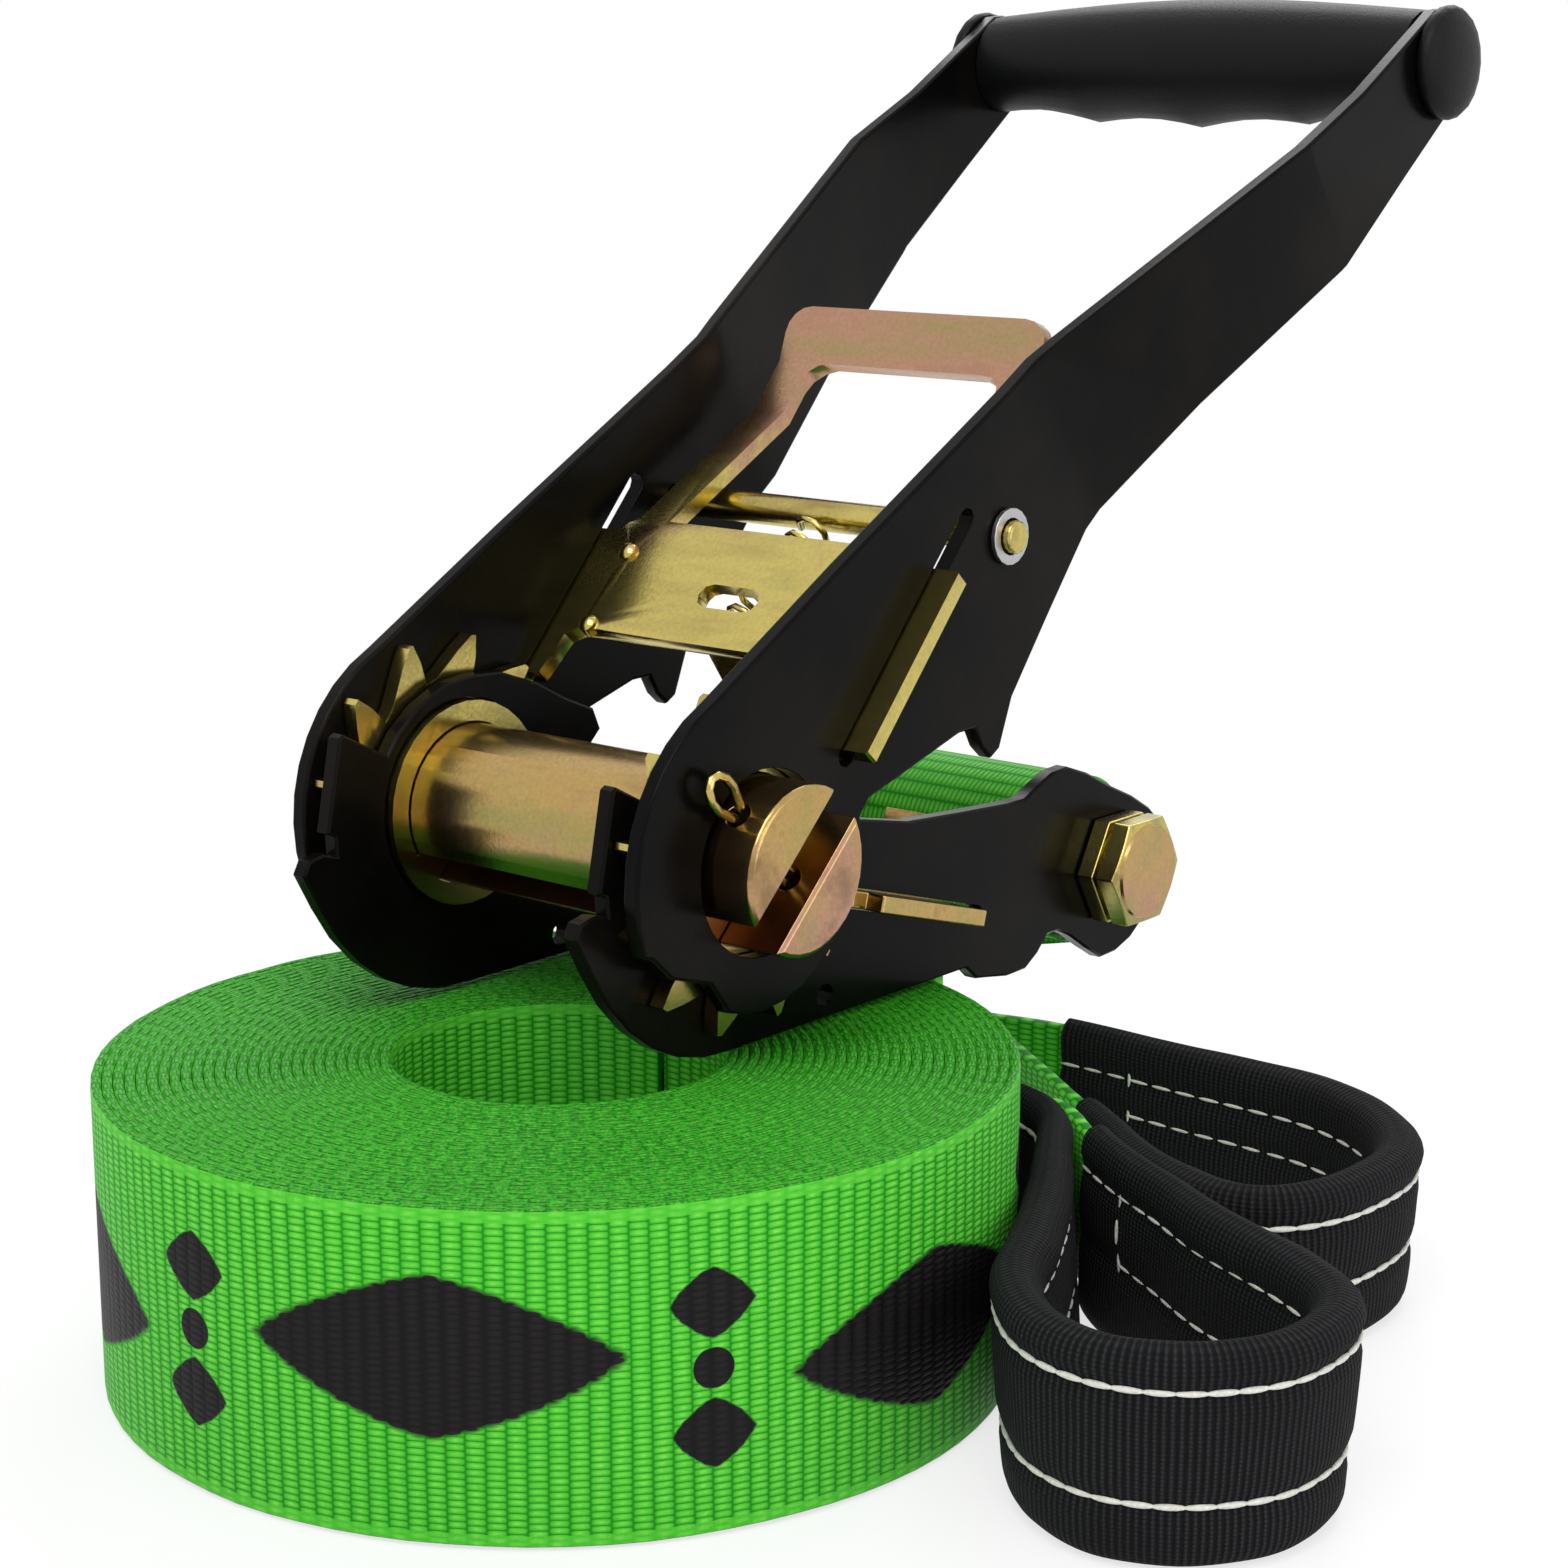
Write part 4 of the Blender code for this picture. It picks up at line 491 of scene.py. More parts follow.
def thread_finish(name):
    """Pale sewing thread, with painted shade between its plies."""
    look = bpy.context.scene.slackline_sleeve
    finish = Finish(name)
    twist = finish.noise(1500.0, 2.0)
    # Painted shade: the thread is darkened toward a dimmer copy of its colour where the twist noise is low,
    # between its plies.
    colour = finish.blend((twist * 1.4 - 0.2).clamped(), rgba(look.thread, 0.62), rgba(look.thread))
    return finish.surface(colour, 0.7, (twist, THREAD_RELIEF))


def paint_finish(name):
    """Gloss black paint with a faint orange peel, and cloudy brown patches that are a painted reflection."""
    look = bpy.context.scene.slackline_metal
    finish = Finish(name)
    peel = finish.noise(700.0, 2.0)
    cloud = finish.noise(22.0, 4.0, 0.6)
    rub = (finish.noise(130.0, 5.0, 0.7) * 3.0 - 1.75).clamped()
    # Painted reflection: the black paint is tinted brown in cloudy patches.
    reflection_brown = tuple(channel + shift for channel, shift in zip(look.paint, REFLECTION_BROWN_TINT))
    colour = finish.blend(((cloud - 0.42) * 3.5).clamped(), rgba(look.paint), rgba(reflection_brown))
    rough = look.paint_gloss + cloud * 0.08 + rub * 0.10
    return finish.surface(colour, rough, (peel, FINE_RELIEF), specular=0.06)


def zinc_finish(name, below, above, level, spread, dark_streak_share=0.55):
    """Yellow chromate plating: one tone below a level, another above it, with streaks and dark patches."""
    look = bpy.context.scene.slackline_metal
    finish = Finish(name)
    run, reach = (Number(finish, finish.vector('DOT_PRODUCT', finish.place, way, out=1))
                  for way in (ACROSS_WAY, ALONG_WAY))
    up = finish.number("ShaderNodeSeparateXYZ", None, {0: finish.place}, 2)
    streaky = finish.output("ShaderNodeCombineXYZ", None, {"X": run * STREAK_STRETCH, "Y": reach, "Z": up})
    streak = finish.noise(95.0, 4.0, 0.62, streaky)
    film = finish.noise(75.0, 4.0, 0.62)
    scratch = finish.noise(1400.0, 3.0, 0.7)
    share = ((up - level) / spread + (film - 0.5) * 4.0 + 0.5).clamped()
    colour = finish.blend(share, rgba(below), rgba(above))
    colour = finish.blend(((streak - 0.50) * 4.5).clamped() * 0.75, colour, rgba(look.green))
    # Darker toward the umber tone where the stretched streak noise is low.
    colour = finish.blend(((0.46 - streak) * 7.0).clamped() * dark_streak_share, colour, rgba(look.umber))
    colour = finish.blend((scratch * 0.55 - 0.08).clamped(), colour, rgba(look.umber))
    return finish.surface(colour, 0.13 + scratch * 0.18, (scratch, FINE_RELIEF), metallic=1.0)


def steel_finish(name, tone):
    """Bare or blackened steel with a fine grain."""
    finish = Finish(name)
    grain = finish.noise(900.0, 3.0, 0.7)
    colour = finish.blend(grain, rgba(tone, 0.75), rgba(tone))
    return finish.surface(colour, 0.26 + grain * 0.2, (grain, FINE_RELIEF), metallic=1.0)


def grip_finish(name):
    """Moulded black plastic with a fine stipple."""
    look = bpy.context.scene.slackline_metal
    finish = Finish(name)
    stipple = finish.noise(1900.0, 2.0, 0.5)
    cloud = finish.noise(40.0, 2.0)
    colour = finish.blend(cloud, rgba(look.plastic), rgba(look.plastic, 1.5))
    return finish.surface(colour, 0.40 + stipple * 0.15, (stipple, GRIP_RELIEF), specular=0.14)


def smooth_line(points, step):
    """Even points along a smooth curve through the given points."""
    points = [Vector(p) for p in points]
    ends = [2 * points[0] - points[1]] + points + [2 * points[-1] - points[-2]]
    fine = []
    for a, b, c, d in zip(ends, ends[1:], ends[2:], ends[3:]):
        for k in range(CURVE_STEPS):
            t = k / CURVE_STEPS
            fine.append(0.5 * (2 * b + (c - a) * t + (2 * a - 5 * b + 4 * c - d) * t ** 2
                               + (3 * b - a - 3 * c + d) * t ** 3))
    fine.append(points[-1])
    lengths = np.cumsum([0.0] + [(q - p).length for p, q in zip(fine, fine[1:])])
    count = max(int(round(lengths[-1] / step)), LEAST_STEPS)
    places = np.linspace(0.0, lengths[-1], count + 1)
    table = np.array([tuple(p) for p in fine])
    return [Vector([float(np.interp(s, lengths, table[:, axis])) for axis in range(len(points[0]))])
            for s in places]


def side_normals(line):
    """At each point of a line in plan, the way to its left."""
    normals = []
    for before, after in zip([line[0]] + line[:-1], line[1:] + [line[-1]]):
        along = Vector((after.x - before.x, after.y - before.y)).normalized()
        normals.append(Vector((-along.y, along.x)))
    return normals


def in_plan(shares):
    return [Vector((ROLL_CENTRE.x + x * EYE_REACH, ROLL_CENTRE.y + y * EYE_REACH)) for x, y in shares]


def ratchet_point(x, y, z):
    """A place given along the frame, across it and up from the drum's axis."""
    return DRUM_AXIS + Matrix.Rotation(RATCHET_YAW, 3, 'Z') @ Vector((x, y, z))


def eased(share):
    """A share from 0 to 1 with soft ends."""
    share = max(min(share, 1.0), 0.0)
    return share * share * (3 - 2 * share)


class Eye:
    """A sewn eye: its line in plan, its lean, and the stretch of it that the sleeve covers."""

    def __init__(self, start, shares, sleeve_shares, height, lift, inner, rows, inner_rows):
        self.line = line = smooth_line([start] + in_plan(shares), EYE_STEP)
        self.height, self.lift, self.inner = height, lift, inner
        self.rows = {-inner: rows, inner: inner_rows}
        self.normals = side_normals(line)
        last = len(line) - 1
        self.first, self.last = (int(round(share * last)) for share in sleeve_shares)
        places = [k / last for k in range(len(line))]
        self.leans = [inner * EYE_LEAN * eased((min(p, 1.0 - p) - LEAN_START_SHARE) / LEAN_TAPER_SHARE)
                      for p in places]
        steps = [0.0] + [(b - a).length for a, b in zip(line, line[1:])]
        self.travelled = [float(length) for length in np.cumsum(steps)]

    def spot(self, k, offset, up, forward=0.0):
        """A point beside station k, shifted as the eye leans."""
        normal = self.normals[k]
        point = self.line[k] + normal * (offset + self.leans[k] * (self.height - up))
        point += Vector((normal.y, -normal.x)) * forward
        return (point.x, point.y, up)

    def half_thickness(self, k):
        """Half the sleeve's thickness, which tapers to its ends."""
        place = (k - self.first) / (self.last - self.first)
        share = eased(min(place, 1.0 - place) / SLEEVE_TAPER_SHARE)
        return (SLEEVE_END_THICKNESS + (SLEEVE_THICKNESS - SLEEVE_END_THICKNESS) * share) / 2

    def swell(self, k, share, side):
        """The sleeve's half thickness at a share of its height: round rims, drawn in at each stitch row."""
        rim = min(share, 1.0 - share) / RIM_SHARE
        rounded = sqrt(max(1.0 - (1.0 - min(rim, 1.0)) ** 2, 0.0))
        rounded = rounded * (1 - RIM_LEAST_SHARE) + RIM_LEAST_SHARE
        drawn = sum(ROW_DRAW_SHARE * ROW_DRAW_BASE ** -(((share * self.height - row) / ROW_DRAW_REACH) ** 2)
                    for row in self.rows[side])
        return max(self.half_thickness(k) * rounded * (1.0 - drawn), LEAST_SWELL)

    def thread_spot(self, k, up, side, radius):
        """Where a thread lies on one of the sleeve's faces."""
        return self.spot(k, side * (self.swell(k, up / self.height, side) + radius * THREAD_PROUD_SHARE), up)


def front_eye():
    """The eye at the line's own end, which leaves the roll's last turn."""
    middle = ROLL_OUTER - WEB_THICKNESS / 2
    start = Vector((middle * cos(ROLL_END_ANGLE), middle * sin(ROLL_END_ANGLE)))
    start += Vector((sin(ROLL_END_ANGLE), -cos(ROLL_END_ANGLE))) * TOUCH_GAP
    return Eye(start + ROLL_CENTRE.to_2d(), FRONT_EYE_SHARES, FRONT_SLEEVE_SHARES, SLEEVE_HEIGHT,
               FOLD_LIFT, 1, FRONT_OUTER_ROWS, FRONT_INNER_ROWS)


def rear_eye():
    """The eye of the ratchet's strap, which starts beside the strap's neck."""
    start = ratchet_point(TAIL_REACH, NECK_END_ACROSS - 4 * TOUCH_GAP, 0.0)
    return Eye(start.to_2d(), REAR_EYE_SHARES, REAR_SLEEVE_SHARES, REAR_SLEEVE_HEIGHT,
               REAR_FOLD_LIFT, -1, REAR_OUTER_ROWS, REAR_INNER_ROWS)


def new_piece(name, mesh, finish):
    """An object for a mesh, with its one finish."""
    piece = bpy.data.objects.new(name, mesh)
    bpy.context.collection.objects.link(piece)
    mesh.materials.clear()
    mesh.materials.append(finish)
    return piece


def hand_over(piece, body, slot, *nodes):
    """Let a piece stand for its nodes and ride on a body; the slot is not used."""
    if nodes:
        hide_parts(*nodes)
    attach(piece, body)
    return piece


def mesh_from(bm, name):
    """A mesh of what was being built."""
    mesh = bpy.data.meshes.new(name)
    bm.to_mesh(mesh)
    bm.free()
    return mesh


def smoothed(mesh, sharp):
    """Smooth shading up to an angle."""
    mesh.shade_smooth()
    mesh.set_sharp_from_angle(angle=radians(sharp))
    return mesh


def finished_mesh(name, bm, sharp):
    """Turn the faces outward and keep the shading smooth up to an angle."""
    bmesh.ops.recalc_face_normals(bm, faces=bm.faces)
    if bm.calc_volume(signed=True) < 0.0:
        bmesh.ops.reverse_faces(bm, faces=bm.faces)
    return smoothed(mesh_from(bm, name), sharp)


class Sewn:
    """A mesh being built whose points know their place along, across and beside the cloth."""

    def __init__(self):
        self.bm = bmesh.new()
        self.keys = [self.bm.verts.layers.float.new(key) for key in ("along", "across", "side")]

    def point(self, place, *values):
        """Add a point with its values along, across and beside."""
        vert = self.bm.verts.new(place)
        for key, value in zip(self.keys, values):
            vert[key] = value
        return vert

    def bridge(self, rings):
        """Close the way between each ring of points and the next."""
        for one, two in zip(rings, rings[1:]):
            for k in range(len(one)):
                after = (k + 1) % len(one)
                self.bm.faces.new((one[k], one[after], two[after], two[k]))

    def capped(self, rings):
        """Bridge the rings and close both ends."""
        self.bridge(rings)
        for end in (rings[0], rings[-1]):
            self.bm.faces.new(end)

    def piece(self, name, sharp, finish):
        return new_piece(name, finished_mesh(name, self.bm, sharp), finish)


def band(half, low, high):
    """A webbing section with slightly rounded edges."""
    soft = min(half * 0.8, WEB_ROUND)
    return [(-half, low + soft), (-half + soft, low), (half - soft, low), (half, low + soft),
            (half, high - soft), (half - soft, high), (-half + soft, high), (-half, high - soft)]


def set_inputs(modifier, values):
    """Set a modifier's inputs by the names that its tree gives them."""
    for item in modifier.node_group.interface.items_tree:
        if item.item_type == 'SOCKET' and item.in_out == 'INPUT' and item.name in values:
            modifier[item.identifier] = values[item.name]


def new_geometry_tree(name, inputs):
    """A Geometry Nodes tree with its named inputs."""
    tree = bpy.data.node_groups.new(name, 'GeometryNodeTree')
    for label, kind in inputs.items():
        tree.interface.new_socket(label, in_out='INPUT', socket_type='NodeSocket' + kind)
    tree.interface.new_socket("Geometry", in_out='OUTPUT', socket_type='NodeSocketGeometry')
    graph = Graph(tree)
    return graph, graph.node("NodeGroupInput").outputs


def close_tree(graph, geometry, finish):
    """End a tree with real, smooth geometry that has its finish."""
    whole = graph.geometry("RealizeInstances", {"Geometry": geometry})
    smooth = graph.geometry("SetShadeSmooth", {"Geometry": whole, "Shade Smooth": True})
    dressed = graph.geometry("SetMaterial", {"Geometry": smooth, "Material": finish})
    graph.node("NodeGroupOutput", None, {0: dressed})
    return graph.tree


def grown_piece(name, data, tree, values, finish):
    """Grow a tree's geometry on a carrier, keep it as a plain mesh piece and drop the carrier."""
    carrier = bpy.data.objects.new(name + "_carrier", data)
    bpy.context.collection.objects.link(carrier)
    modifier = carrier.modifiers.new(name, 'NODES')
    modifier.node_group = tree
    set_inputs(modifier, values)
    bpy.context.view_layer.update()
    shown = carrier.evaluated_get(bpy.context.evaluated_depsgraph_get())
    mesh = bpy.data.meshes.new_from_object(shown)
    bpy.data.objects.remove(carrier, do_unlink=True)
    bpy.data.batch_remove([data])
    mesh.name = name
    return new_piece(name, mesh, finish)


def roll_tree(finish):
    """A strap wound in a spiral: a rounded band swept along a spiral that strays a little."""
    graph, take = new_geometry_tree("wound_strap", {
        "Turns": "Float", "Inner Radius": "Float", "Outer Radius": "Float", "Strap Width": "Float",
        "Strap Thickness": "Float", "End Angle": "Float", "Centre": "Vector", "Waviness": "Float"})

    def stored(geometry, name, value):
        return graph.geometry("StoreNamedAttribute", {"Geometry": geometry, "Name": name, "Value": value},
                              data_type='FLOAT', domain='POINT')

    spiral = graph.geometry("CurveSpiral", {
        "Resolution": 80, "Rotations": take["Turns"], "Start Radius": take["Inner Radius"],
        "End Radius": take["Outer Radius"], "Height": 0.0, "Reverse": True})
    turned = graph.output("ShaderNodeCombineXYZ", None, {"Z": take["End Angle"]})
    spiral = graph.geometry("Transform", {"Geometry": spiral, "Rotation": turned})
    near = graph.output("ShaderNodeTexNoise", None, {
        "Vector": graph.geometry("InputPosition"), "Scale": 45.0, "Detail": 2.0}, 1)
    stray = graph.vector('MULTIPLY', graph.vector('SUBTRACT', near, (0.5, 0.5, 0.5)), (0.7, 0.7, 3.0))
    stray = graph.output("ShaderNodeVectorMath", {"operation": 'SCALE'},
                         {0: stray, "Scale": take["Waviness"]})
    spiral = graph.geometry("SetPosition", {"Geometry": spiral, "Offset": stray})
    spiral = graph.geometry("SetCurveNormal", {"Curve": spiral}, mode='Z_UP')
    spiral = stored(spiral, "along", graph.geometry("SplineParameter", out=1))
    profile = graph.geometry("CurvePrimitiveQuadrilateral",
                             {"Width": take["Strap Thickness"], "Height": take["Strap Width"]},
                             mode='RECTANGLE')
    radius = Number(graph, take["Strap Thickness"]) * 0.36
    profile = graph.geometry("FilletCurve", {"Curve": profile, "Radius": radius, "Count": 2}, mode='POLY')
    split = graph.node("ShaderNodeSeparateXYZ", None, {0: graph.geometry("InputPosition")})
    for label, out in (("side", 0), ("across", 1)):
        profile = stored(profile, label, split.outputs[out])
    swept = graph.geometry("CurveToMesh", {"Curve": spiral, "Profile Curve": profile, "Fill Caps": True})
    moved = graph.geometry("Transform", {"Geometry": swept, "Translation": take["Centre"]})
    return close_tree(graph, moved, finish)


def stitch_tree(finish):
    """Stitches laid end to end along a line: one small round-ended thread, repeated."""
    graph, take = new_geometry_tree("stitch_row", {
        "Row": "Geometry", "Stitch Pitch": "Float", "Stitch Length": "Float", "Thread Radius": "Float"})
    row = graph.geometry("ResampleCurve", {"Curve": take["Row"], "Length": take["Stitch Pitch"]},
                         mode='LENGTH')
    row = graph.geometry("SetCurveNormal", {"Curve": row}, mode='Z_UP')
    ball = graph.geometry("MeshUVSphere", {"Segments": 8, "Rings": 8, "Radius": 1.0})
    half = Number(graph, take["Stitch Length"]) * 0.5
    scale = graph.output("ShaderNodeCombineXYZ", None,
                         {"X": take["Thread Radius"], "Y": take["Thread Radius"], "Z": half})
    thread = graph.geometry("Transform", {"Geometry": ball, "Scale": scale})
    turn = graph.output("FunctionNodeAlignRotationToVector", {"axis": 'Z'},
                        {"Vector": graph.geometry("InputTangent")})
    laid = graph.geometry("InstanceOnPoints", {"Points": row, "Instance": thread, "Rotation": turn})
    return close_tree(graph, laid, finish)


def stitched_rows(name, rows, pitch, length, radius, finish):
    """Sew stitches along several lines of points in space."""
    data = bpy.data.curves.new(name + "_rows", 'CURVE')
    data.dimensions = '3D'
    for row in rows:
        spline = data.splines.new('POLY')
        spline.points.add(len(row) - 1)
        for place, point in zip(spline.points, row):
            place.co = (*point, 1.0)
    values = {"Stitch Pitch": pitch, "Stitch Length": length, "Thread Radius": radius}
    return grown_piece(name, data, stitch_tree(finish), values, finish)


def sleeve_piece(name, eye, finish):
    """A padded tube with puffed rims, drawn in along its stitch rows, open and ragged at both ends."""
    look = bpy.context.scene.slackline_sleeve
    sewn = Sewn()
    shares = [(1 - cos(pi * k / SLEEVE_AROUND)) / 2 * 0.5 + 0.5 * k / SLEEVE_AROUND
              for k in range(SLEEVE_AROUND + 1)]
    loop = [(1, share) for share in shares] + [(-1, share) for share in reversed(shares)]
    tubes = []
    for depth in (0.0, SLEEVE_WALL):
        rings = []
        for k in range(eye.first, eye.last + 1):
            along = eye.travelled[k]
            tear = {eye.first: -1.0, eye.last: 1.0}.get(k, 0.0)
            ring = []
            for side, share in loop:
                spot = (along * WAVE_PLACES[0], share * WAVE_PLACES[1], side * WAVE_PLACES[2])
                wave = noise.noise(Vector(spot)) * look.ripple
                offset = eye.swell(k, share, side)
                offset = max(offset + wave * min(offset / FULL_WAVE_SWELL, 1.0) - depth,
                             LEAST_SWELL_SHARE * offset)
                up = eye.height / 2 + (share - 0.5) * (eye.height - 2 * depth)
                fray = noise.noise(Vector((share * TEAR_PLACES[0], side, tear * TEAR_PLACES[1])))
                torn = tear * look.ragged * (TEAR_SHARE + fray)
                ring.append(sewn.point(eye.spot(k, offset * side, up, torn), along, up, offset * side))
            rings.append(ring)
        sewn.bridge(rings)
        tubes.append(rings)
    for end in (0, -1):
        sewn.bridge([tubes[0][end], tubes[1][end]])
    return sewn.piece(name, SLEEVE_SHARP, finish)


def sleeve_rows(eye, side, radius, inset=0):
    """Lines for stitches on one of a sleeve's faces; an inset keeps the lower one off the ends."""
    return [[eye.thread_spot(k, up, side, radius) for k in range(eye.first + 1 + away, eye.last - away)]
            for up, away in zip(eye.rows[side], (inset, 0))]


def box_rows(eye, radius, inset):
    """The upright stitches inside the eye that close each sleeve row off, some way from the ends."""
    low, high = eye.rows[eye.inner]
    heights = [low + (high - low) * step / BOX_ROW_STEPS for step in range(BOX_ROW_STEPS + 1)]
    return [[eye.thread_spot(k, up, eye.inner, radius) for up in heights]
            for k in (eye.first + inset, eye.last - inset)]


def soften(piece, width):
    """Round a piece's edges by a bevel of the given width."""
    bevel = piece.modifiers.new("soft_edges", 'BEVEL')
    bevel.width = width
    bevel.segments = 2
    return bevel


def dressed_copy(node, finish, edge, sharp):
    """A smooth copy of a node with softened edges, which stands for the node."""
    source = frame["nodes"][node]
    bm = bmesh.new()
    bm.from_mesh(source.data)
    bmesh.ops.remove_doubles(bm, verts=bm.verts, dist=MERGE_REACH)
    bmesh.ops.dissolve_limit(bm, angle_limit=radians(FLAT_ANGLE), verts=bm.verts, edges=bm.edges)
    mesh = mesh_from(bm, node + "_dressed")
    mesh.transform(source.matrix_world)
    piece = new_piece(node + "_dressed", smoothed(mesh, sharp), finish)
    if edge:
        bevel = soften(piece, edge)
        bevel.limit_method = 'ANGLE'
        bevel.angle_limit = radians(BEVEL_ANGLE)
        bevel.harden_normals = True
    return piece


def body_of_node(node):
    """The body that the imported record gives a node."""
    for body, nodes in frame["record"]["behaviour"]["bodies"].items():
        if node in nodes:
            return body
    raise RuntimeError("no body holds the node " + node)


def dress(nodes, finish, edge, slot, sharp=SHARP):
    """Stand a finished copy in for each of the nodes."""
    for node in nodes:
        hand_over(dressed_copy(node, finish, edge, sharp), body_of_node(node), slot, node)


class PieceOperator:
    """What every operator here shares: it makes its pieces and reports that it is done."""

    bl_options = {'REGISTER', 'UNDO'}

    def execute(self, context):
        self.make(context.scene)
        return {'FINISHED'}


class SLACKLINE_OT_stage(PieceOperator, bpy.types.Operator):
    """Make the camera, the lamps and the pale floor"""
    bl_idname = "slackline.stage"
    bl_label = "Stage"

    def make(self, scene):
        look = scene.slackline_stage
        scene.view_settings.view_transform = 'Standard'
        camera = bpy.data.cameras.new("camera")
        camera.lens = look.lens
        camera.sensor_width = SENSOR_WIDTH
        camera.clip_start = CLIP_START
        holder = bpy.data.objects.new("camera", camera)
        scene.collection.objects.link(holder)
        holder.location = (ROLL_CENTRE.x + CAMERA_ASIDE, ROLL_CENTRE.y - look.distance, look.height)
        holder.rotation_euler = (pi / 2 - look.tilt, 0.0, 0.0)
        scene.camera = holder
        self.floor(look)
        self.world(scene, look)
        for name, place, size, share in LAMPS:
            lamp = bpy.data.lights.new(name, 'AREA')
            lamp.size = size
            lamp.energy = look.key * share
            lit = bpy.data.objects.new(name, lamp)
            scene.collection.objects.link(lit)
            lit.location = place
            lit.rotation_euler = (AIM - Vector(place)).to_track_quat('-Z', 'Y').to_euler()

    def floor(self, look):
        """A floor that the camera sees as nearly white, with the object's shadow on it."""
        mesh = bpy.data.meshes.new("floor")
        mesh.from_pydata([(x * FLOOR_REACH, y * FLOOR_REACH, 0.0) for x, y in
                          ((-1, -1), (1, -1), (1, 1), (-1, 1))], [], [(0, 1, 2, 3)])
        finish = Finish("pale_floor")
        finish.surface(rgba(look.floor), 0.8)
        away = Number(finish, finish.vector('LENGTH', finish.place, out=1))
        far = ((away - FLOOR_FADE_START) * FLOOR_FADE_RATE).clamped()
        seen = finish.seen_directly() * (FLOOR_NEAR_SHARE + far * (1 - FLOOR_NEAR_SHARE))
        white = finish.output("ShaderNodeEmission", None, {"Color": WHITE, "Strength": 1.0})
        mixed = finish.output("ShaderNodeMixShader", None, {0: seen, 1: finish.shader.outputs[0], 2: white})
        finish.feed(finish.tree.nodes["Material Output"].inputs["Surface"], mixed)
        new_piece("floor", mesh, finish.material)

    def world(self, scene, look):
        """Soft light from all round, which the camera sees as white."""
        world = bpy.data.worlds.new("studio")
        scene.world = world
        world.use_nodes = True
        graph = Graph(world.node_tree)
        sky = world.node_tree.nodes["Background"]
        sky.inputs["Color"].default_value = WHITE
        graph.feed(sky.inputs["Strength"], graph.seen_directly() * (1.0 - look.sky) + look.sky)


class SLACKLINE_OT_roll(PieceOperator, bpy.types.Operator):
    """Wind the roll of printed webbing"""
    bl_idname = "slackline.roll"
    bl_label = "Webbing Roll"

    def make(self, scene):
        look = scene.slackline_webbing
        finish = webbing_finish("printed_webbing", True)
        thickness = (ROLL_OUTER - ROLL_INNER) / (look.turns + 1) * ROLL_FILL
        roll = grown_piece("wound_webbing", bpy.data.meshes.new("roll_carrier"), roll_tree(finish), {
            "Turns": float(look.turns), "Inner Radius": ROLL_INNER + thickness / 2,
            "Outer Radius": ROLL_OUTER - thickness / 2, "Strap Width": WEB_WIDTH - ROLL_EDGE_ROOM,
            "Strap Thickness": thickness, "End Angle": ROLL_END_ANGLE,
            "Centre": (ROLL_CENTRE.x, ROLL_CENTRE.y, WEB_WIDTH / 2), "Waviness": look.waviness}, finish)
        hand_over(roll, "line", "green_webbing", "webbing_roll")


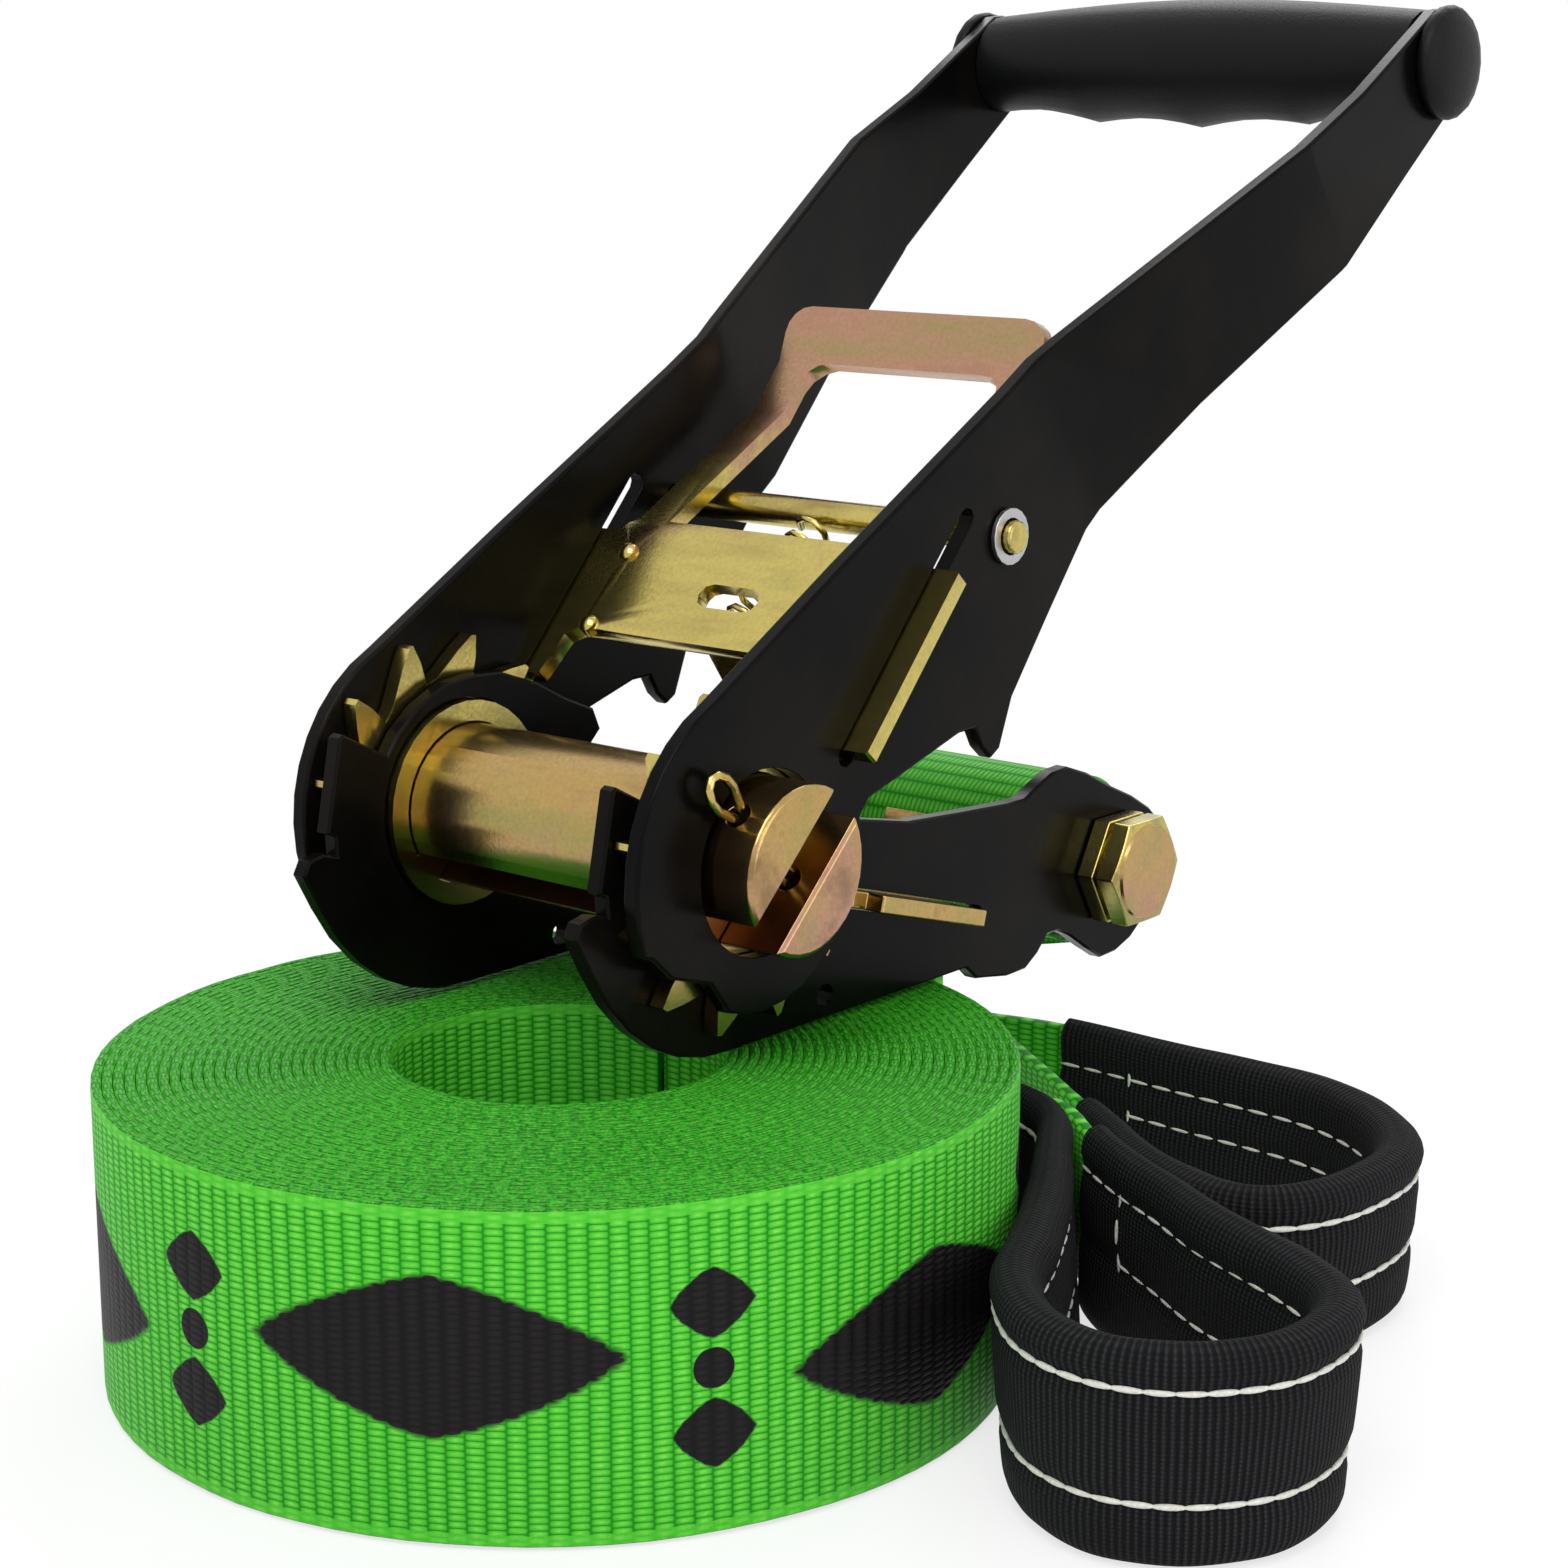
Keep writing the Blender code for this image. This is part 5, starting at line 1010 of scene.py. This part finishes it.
class SLACKLINE_OT_webbing_ends(PieceOperator, bpy.types.Operator):
    """Make the folded webbing that leads into both eyes, and the strap round the tail bolt"""
    bl_idname = "slackline.webbing_ends"
    bl_label = "Webbing Ends"

    def make(self, scene):
        finish = webbing_finish("plain_webbing", False)
        self.eye("line_end_webbing", "line_end", "line", front_eye(), FOLD_START_SHARE, finish)
        self.eye("rear_eye_webbing", "rear_eye", "ratchet_frame", rear_eye(), 0.0, finish)
        self.strap(finish)
        self.neck(finish)

    def eye(self, name, node, body, eye, start, finish):
        """Webbing swept along an eye's line, folded in half from a share of its length on."""
        sewn = Sewn()
        rings = []
        for k, travelled in enumerate(eye.travelled):
            share = eased(k / (len(eye.line) - 1) / start) if start else 1.0
            low = eye.lift * share
            high = WEB_WIDTH + (eye.lift + FOLD_WIDTH - WEB_WIDTH) * share
            half = (WEB_THICKNESS + (FOLD_THICKNESS - WEB_THICKNESS) * share) / 2
            section = band(half, low, high)
            middle = sum(up for _, up in section) / len(section)
            rings.append([sewn.point(eye.spot(k, offset, up), travelled, up - middle, offset)
                          for offset, up in section])
        sewn.capped(rings)
        piece = hand_over(sewn.piece(name, CLOTH_SHARP, finish), body, "green_webbing", node)

    def strap(self, finish):
        """The strap wound round the spacer."""
        radius = SPACER_RADIUS + TOUCH_GAP + STRAP_WRAP / 2
        sewn = Sewn()
        rings = []
        for k in range(WRAP_SIDES):
            angle = 2 * pi * k / WRAP_SIDES
            ring = []
            for offset, across in band(STRAP_WRAP / 2, -WEB_WIDTH / 2, WEB_WIDTH / 2):
                reach = radius + offset
                place = ratchet_point(TAIL_REACH + reach * cos(angle), across,
                                      -TAIL_DROP + reach * sin(angle))
                ring.append(sewn.point(place, radius * angle, across, offset))
            rings.append(ring)
        sewn.bridge(rings + rings[:1])
        wrap = hand_over(sewn.piece("tail_wrap", CLOTH_SHARP, finish), "ratchet_frame", "green_webbing",
                         "ratchet_strap")

    def neck(self, finish):
        """The strap's neck, gathered from full width down to the folded rear eye."""
        half = WEB_WIDTH / 2
        top = -TAIL_DROP - SPACER_RADIUS - TOUCH_GAP - STRAP_WRAP / 2
        fold_low = REAR_FOLD_LIFT - DRUM_AXIS.z
        end = NECK_END_ACROSS
        corner = FOLD_WIDTH / 4
        outline = [(-half, top), (-half, top - corner / 4), (end, top - NECK_GATHER),
                   (end, fold_low), (half - corner, fold_low), (half, fold_low + corner), (half, top)]
        sewn = Sewn()
        sewn.capped([[sewn.point(ratchet_point(TAIL_REACH + offset, y, z), z - top, y, offset)
                      for y, z in outline] for offset in (-STRAP_NECK / 2, STRAP_NECK / 2)])
        piece = sewn.piece("strap_neck", NECK_SHARP, finish)
        soften(piece, NECK_ROUND)
        hand_over(piece, "ratchet_frame", "green_webbing", "ratchet_strap")


class SLACKLINE_OT_sleeves(PieceOperator, bpy.types.Operator):
    """Make the padded sleeves of both eyes with their stitching"""
    bl_idname = "slackline.sleeves"
    bl_label = "Padded Sleeves"

    def make(self, scene):
        cloth = sleeve_finish("ribbed_nylon")
        thread = thread_finish("sewing_thread")
        for name, eye, body in (("front_sleeve", front_eye(), "line"),
                                ("rear_sleeve", rear_eye(), "ratchet_frame")):
            self.sleeve(scene.slackline_sleeve, name, eye, body, cloth, thread)

    def sleeve(self, look, name, eye, body, cloth, thread):
        """One sleeve, its stitches outside and its dashes and box seams inside."""
        piece = hand_over(sleeve_piece(name + "_padded", eye, cloth), body, "black_sleeve", name)
        thick, thin = look.thread_radius, look.thread_radius * THIN_THREAD_SHARE
        inset = int(round(look.box_inset / EYE_STEP))
        long, short = look.stitch * LONG_STITCH_SHARE, look.stitch * SHORT_STITCH_SHARE
        outer_rows = sleeve_rows(eye, -eye.inner, thick)
        inner_rows = sleeve_rows(eye, eye.inner, thin, inset) + box_rows(eye, thin, inset)
        for row in (stitched_rows(name + "_outer_stitches", outer_rows, look.stitch, long, thick, thread),
                    stitched_rows(name + "_inner_stitches", inner_rows, long, short, thin, thread)):
            hand_over(row, body, "black_sleeve")


class SLACKLINE_OT_plates(PieceOperator, bpy.types.Operator):
    """Paint the frame and handle plates"""
    bl_idname = "slackline.plates"
    bl_label = "Painted Plates"

    def make(self, scene):
        finish = paint_finish("gloss_black_paint")
        edge = scene.slackline_metal.edge
        dress(("frame_plate_near", "frame_plate_far", "handle_plate_near", "handle_plate_far"),
              finish, edge, "black_steel")


class SLACKLINE_OT_hardware(PieceOperator, bpy.types.Operator):
    """Plate the drum, wheels, pawls, pins, bolts and springs"""
    bl_idname = "slackline.hardware"
    bl_label = "Zinc Hardware"

    def make(self, scene):
        look = scene.slackline_metal
        level = DRUM_AXIS.z
        pale = zinc_finish("pale_chromate", look.gold, look.lemon, level, PALE_SPREAD)
        drum = zinc_finish("drum_chromate", look.rose, look.gold, level, DRUM_SPREAD)
        pawl = zinc_finish("pawl_chromate", look.lemon, look.rose, level + PAWL_TONE_RISE, TAIL_SPREAD, 0.25)
        bolt = zinc_finish("bolt_chromate", look.green, look.lemon, level - TAIL_DROP, TAIL_SPREAD)
        for nodes, finish, edge, sharp in (
                (("ratchet_wheel_near", "ratchet_wheel_far", "frame_pawl", "handle_pin",
                  "frame_spring_saddle", "tail_spacer"), pale, PLATED_EDGE, SHARP),
                (("drum_bar_upper", "drum_bar_lower"), drum, PLATED_EDGE, SHARP),
                (("handle_pawl",), pawl, PLATED_EDGE, PAWL_SHARP),
                (("tail_bolt", "tail_nut"), bolt, PLATED_EDGE, SHARP),
                (("cotter_pin_near", "cotter_pin_far", "handle_pawl_spring", "frame_pawl_spring"),
                 pale, 0.0, WIRE_SHARP)):
            dress(nodes, finish, edge, "yellow_zinc", sharp)
        self.bolt_face(look)
        dress(("pin_washer_near", "pin_washer_far", "grip_bar"), steel_finish("plain_steel", look.steel),
              WASHER_EDGE, "plain_steel")
        dress(("tail_washer",), steel_finish("dark_steel", look.dark_steel), WASHER_EDGE, "dark_steel")

    def bolt_face(self, look):
        """The round face that stands a little proud of the hexagon of the tail bolt's head."""
        head = frame["nodes"]["tail_bolt"]
        reach = max((head.matrix_world @ vert.co).dot(ACROSS_WAY) for vert in head.data.vertices)
        bm = bmesh.new()
        bmesh.ops.create_cone(bm, cap_ends=True, cap_tris=False, segments=BOLT_FACE_SIDES,
                              radius1=BOLT_FACE_RADIUS, radius2=BOLT_FACE_RADIUS - BOLT_FACE_BEVEL,
                              depth=BOLT_FACE_DEPTH)
        turn = Vector((0.0, 0.0, 1.0)).rotation_difference(ACROSS_WAY).to_matrix().to_4x4()
        centre = ratchet_point(TAIL_REACH, 0.0, -TAIL_DROP)
        centre += ACROSS_WAY * (reach - centre.dot(ACROSS_WAY) + BOLT_FACE_PROUD)
        bmesh.ops.transform(bm, matrix=Matrix.Translation(centre) @ turn, verts=bm.verts)
        finish = zinc_finish("face_chromate", look.rose, look.gold, centre.z, FACE_SPREAD, 0.2)
        face = new_piece("tail_bolt_face", finished_mesh("tail_bolt_face", bm, FACE_SHARP), finish)
        hand_over(face, "ratchet_frame", "yellow_zinc")


class SLACKLINE_OT_grip(PieceOperator, bpy.types.Operator):
    """Mould the grip and its end caps"""
    bl_idname = "slackline.grip"
    bl_label = "Grip"

    def make(self, scene):
        finish = grip_finish("grip_plastic")
        dress(("grip_sleeve", "grip_cap_near", "grip_cap_far"), finish, 0.0, "grip_plastic", GRIP_SHARP)


class SLACKLINE_PT_panel(bpy.types.Panel):
    """The slackline's pieces and settings"""
    bl_idname = "SLACKLINE_PT_panel"
    bl_label = "Slackline"
    bl_space_type = 'VIEW_3D'
    bl_region_type = 'UI'
    bl_category = "Slackline"

    def draw(self, context):
        layout = self.layout
        for operator in OPERATORS:
            layout.operator(operator.bl_idname)
        for name, group in SETTINGS.items():
            box = layout.box()
            for prop in group.__annotations__:
                box.prop(getattr(context.scene, name), prop)


OPERATORS = (SLACKLINE_OT_stage, SLACKLINE_OT_roll, SLACKLINE_OT_webbing_ends, SLACKLINE_OT_sleeves,
             SLACKLINE_OT_plates, SLACKLINE_OT_hardware, SLACKLINE_OT_grip)
SETTINGS = {"slackline_webbing": WebbingSettings, "slackline_sleeve": SleeveSettings,
            "slackline_metal": MetalSettings, "slackline_stage": StageSettings}
register_classes, unregister_classes = bpy.utils.register_classes_factory(
    (*SETTINGS.values(), *OPERATORS, SLACKLINE_PT_panel))


def register():
    register_classes()
    for name, group in SETTINGS.items():
        setattr(bpy.types.Scene, name, bpy.props.PointerProperty(type=group))


def unregister():
    for name in SETTINGS:
        delattr(bpy.types.Scene, name)
    unregister_classes()


def main():
    register()
    for operator in OPERATORS:
        group, action = operator.bl_idname.split(".")
        getattr(getattr(bpy.ops, group), action)()


if __name__ == "__main__":
    main()
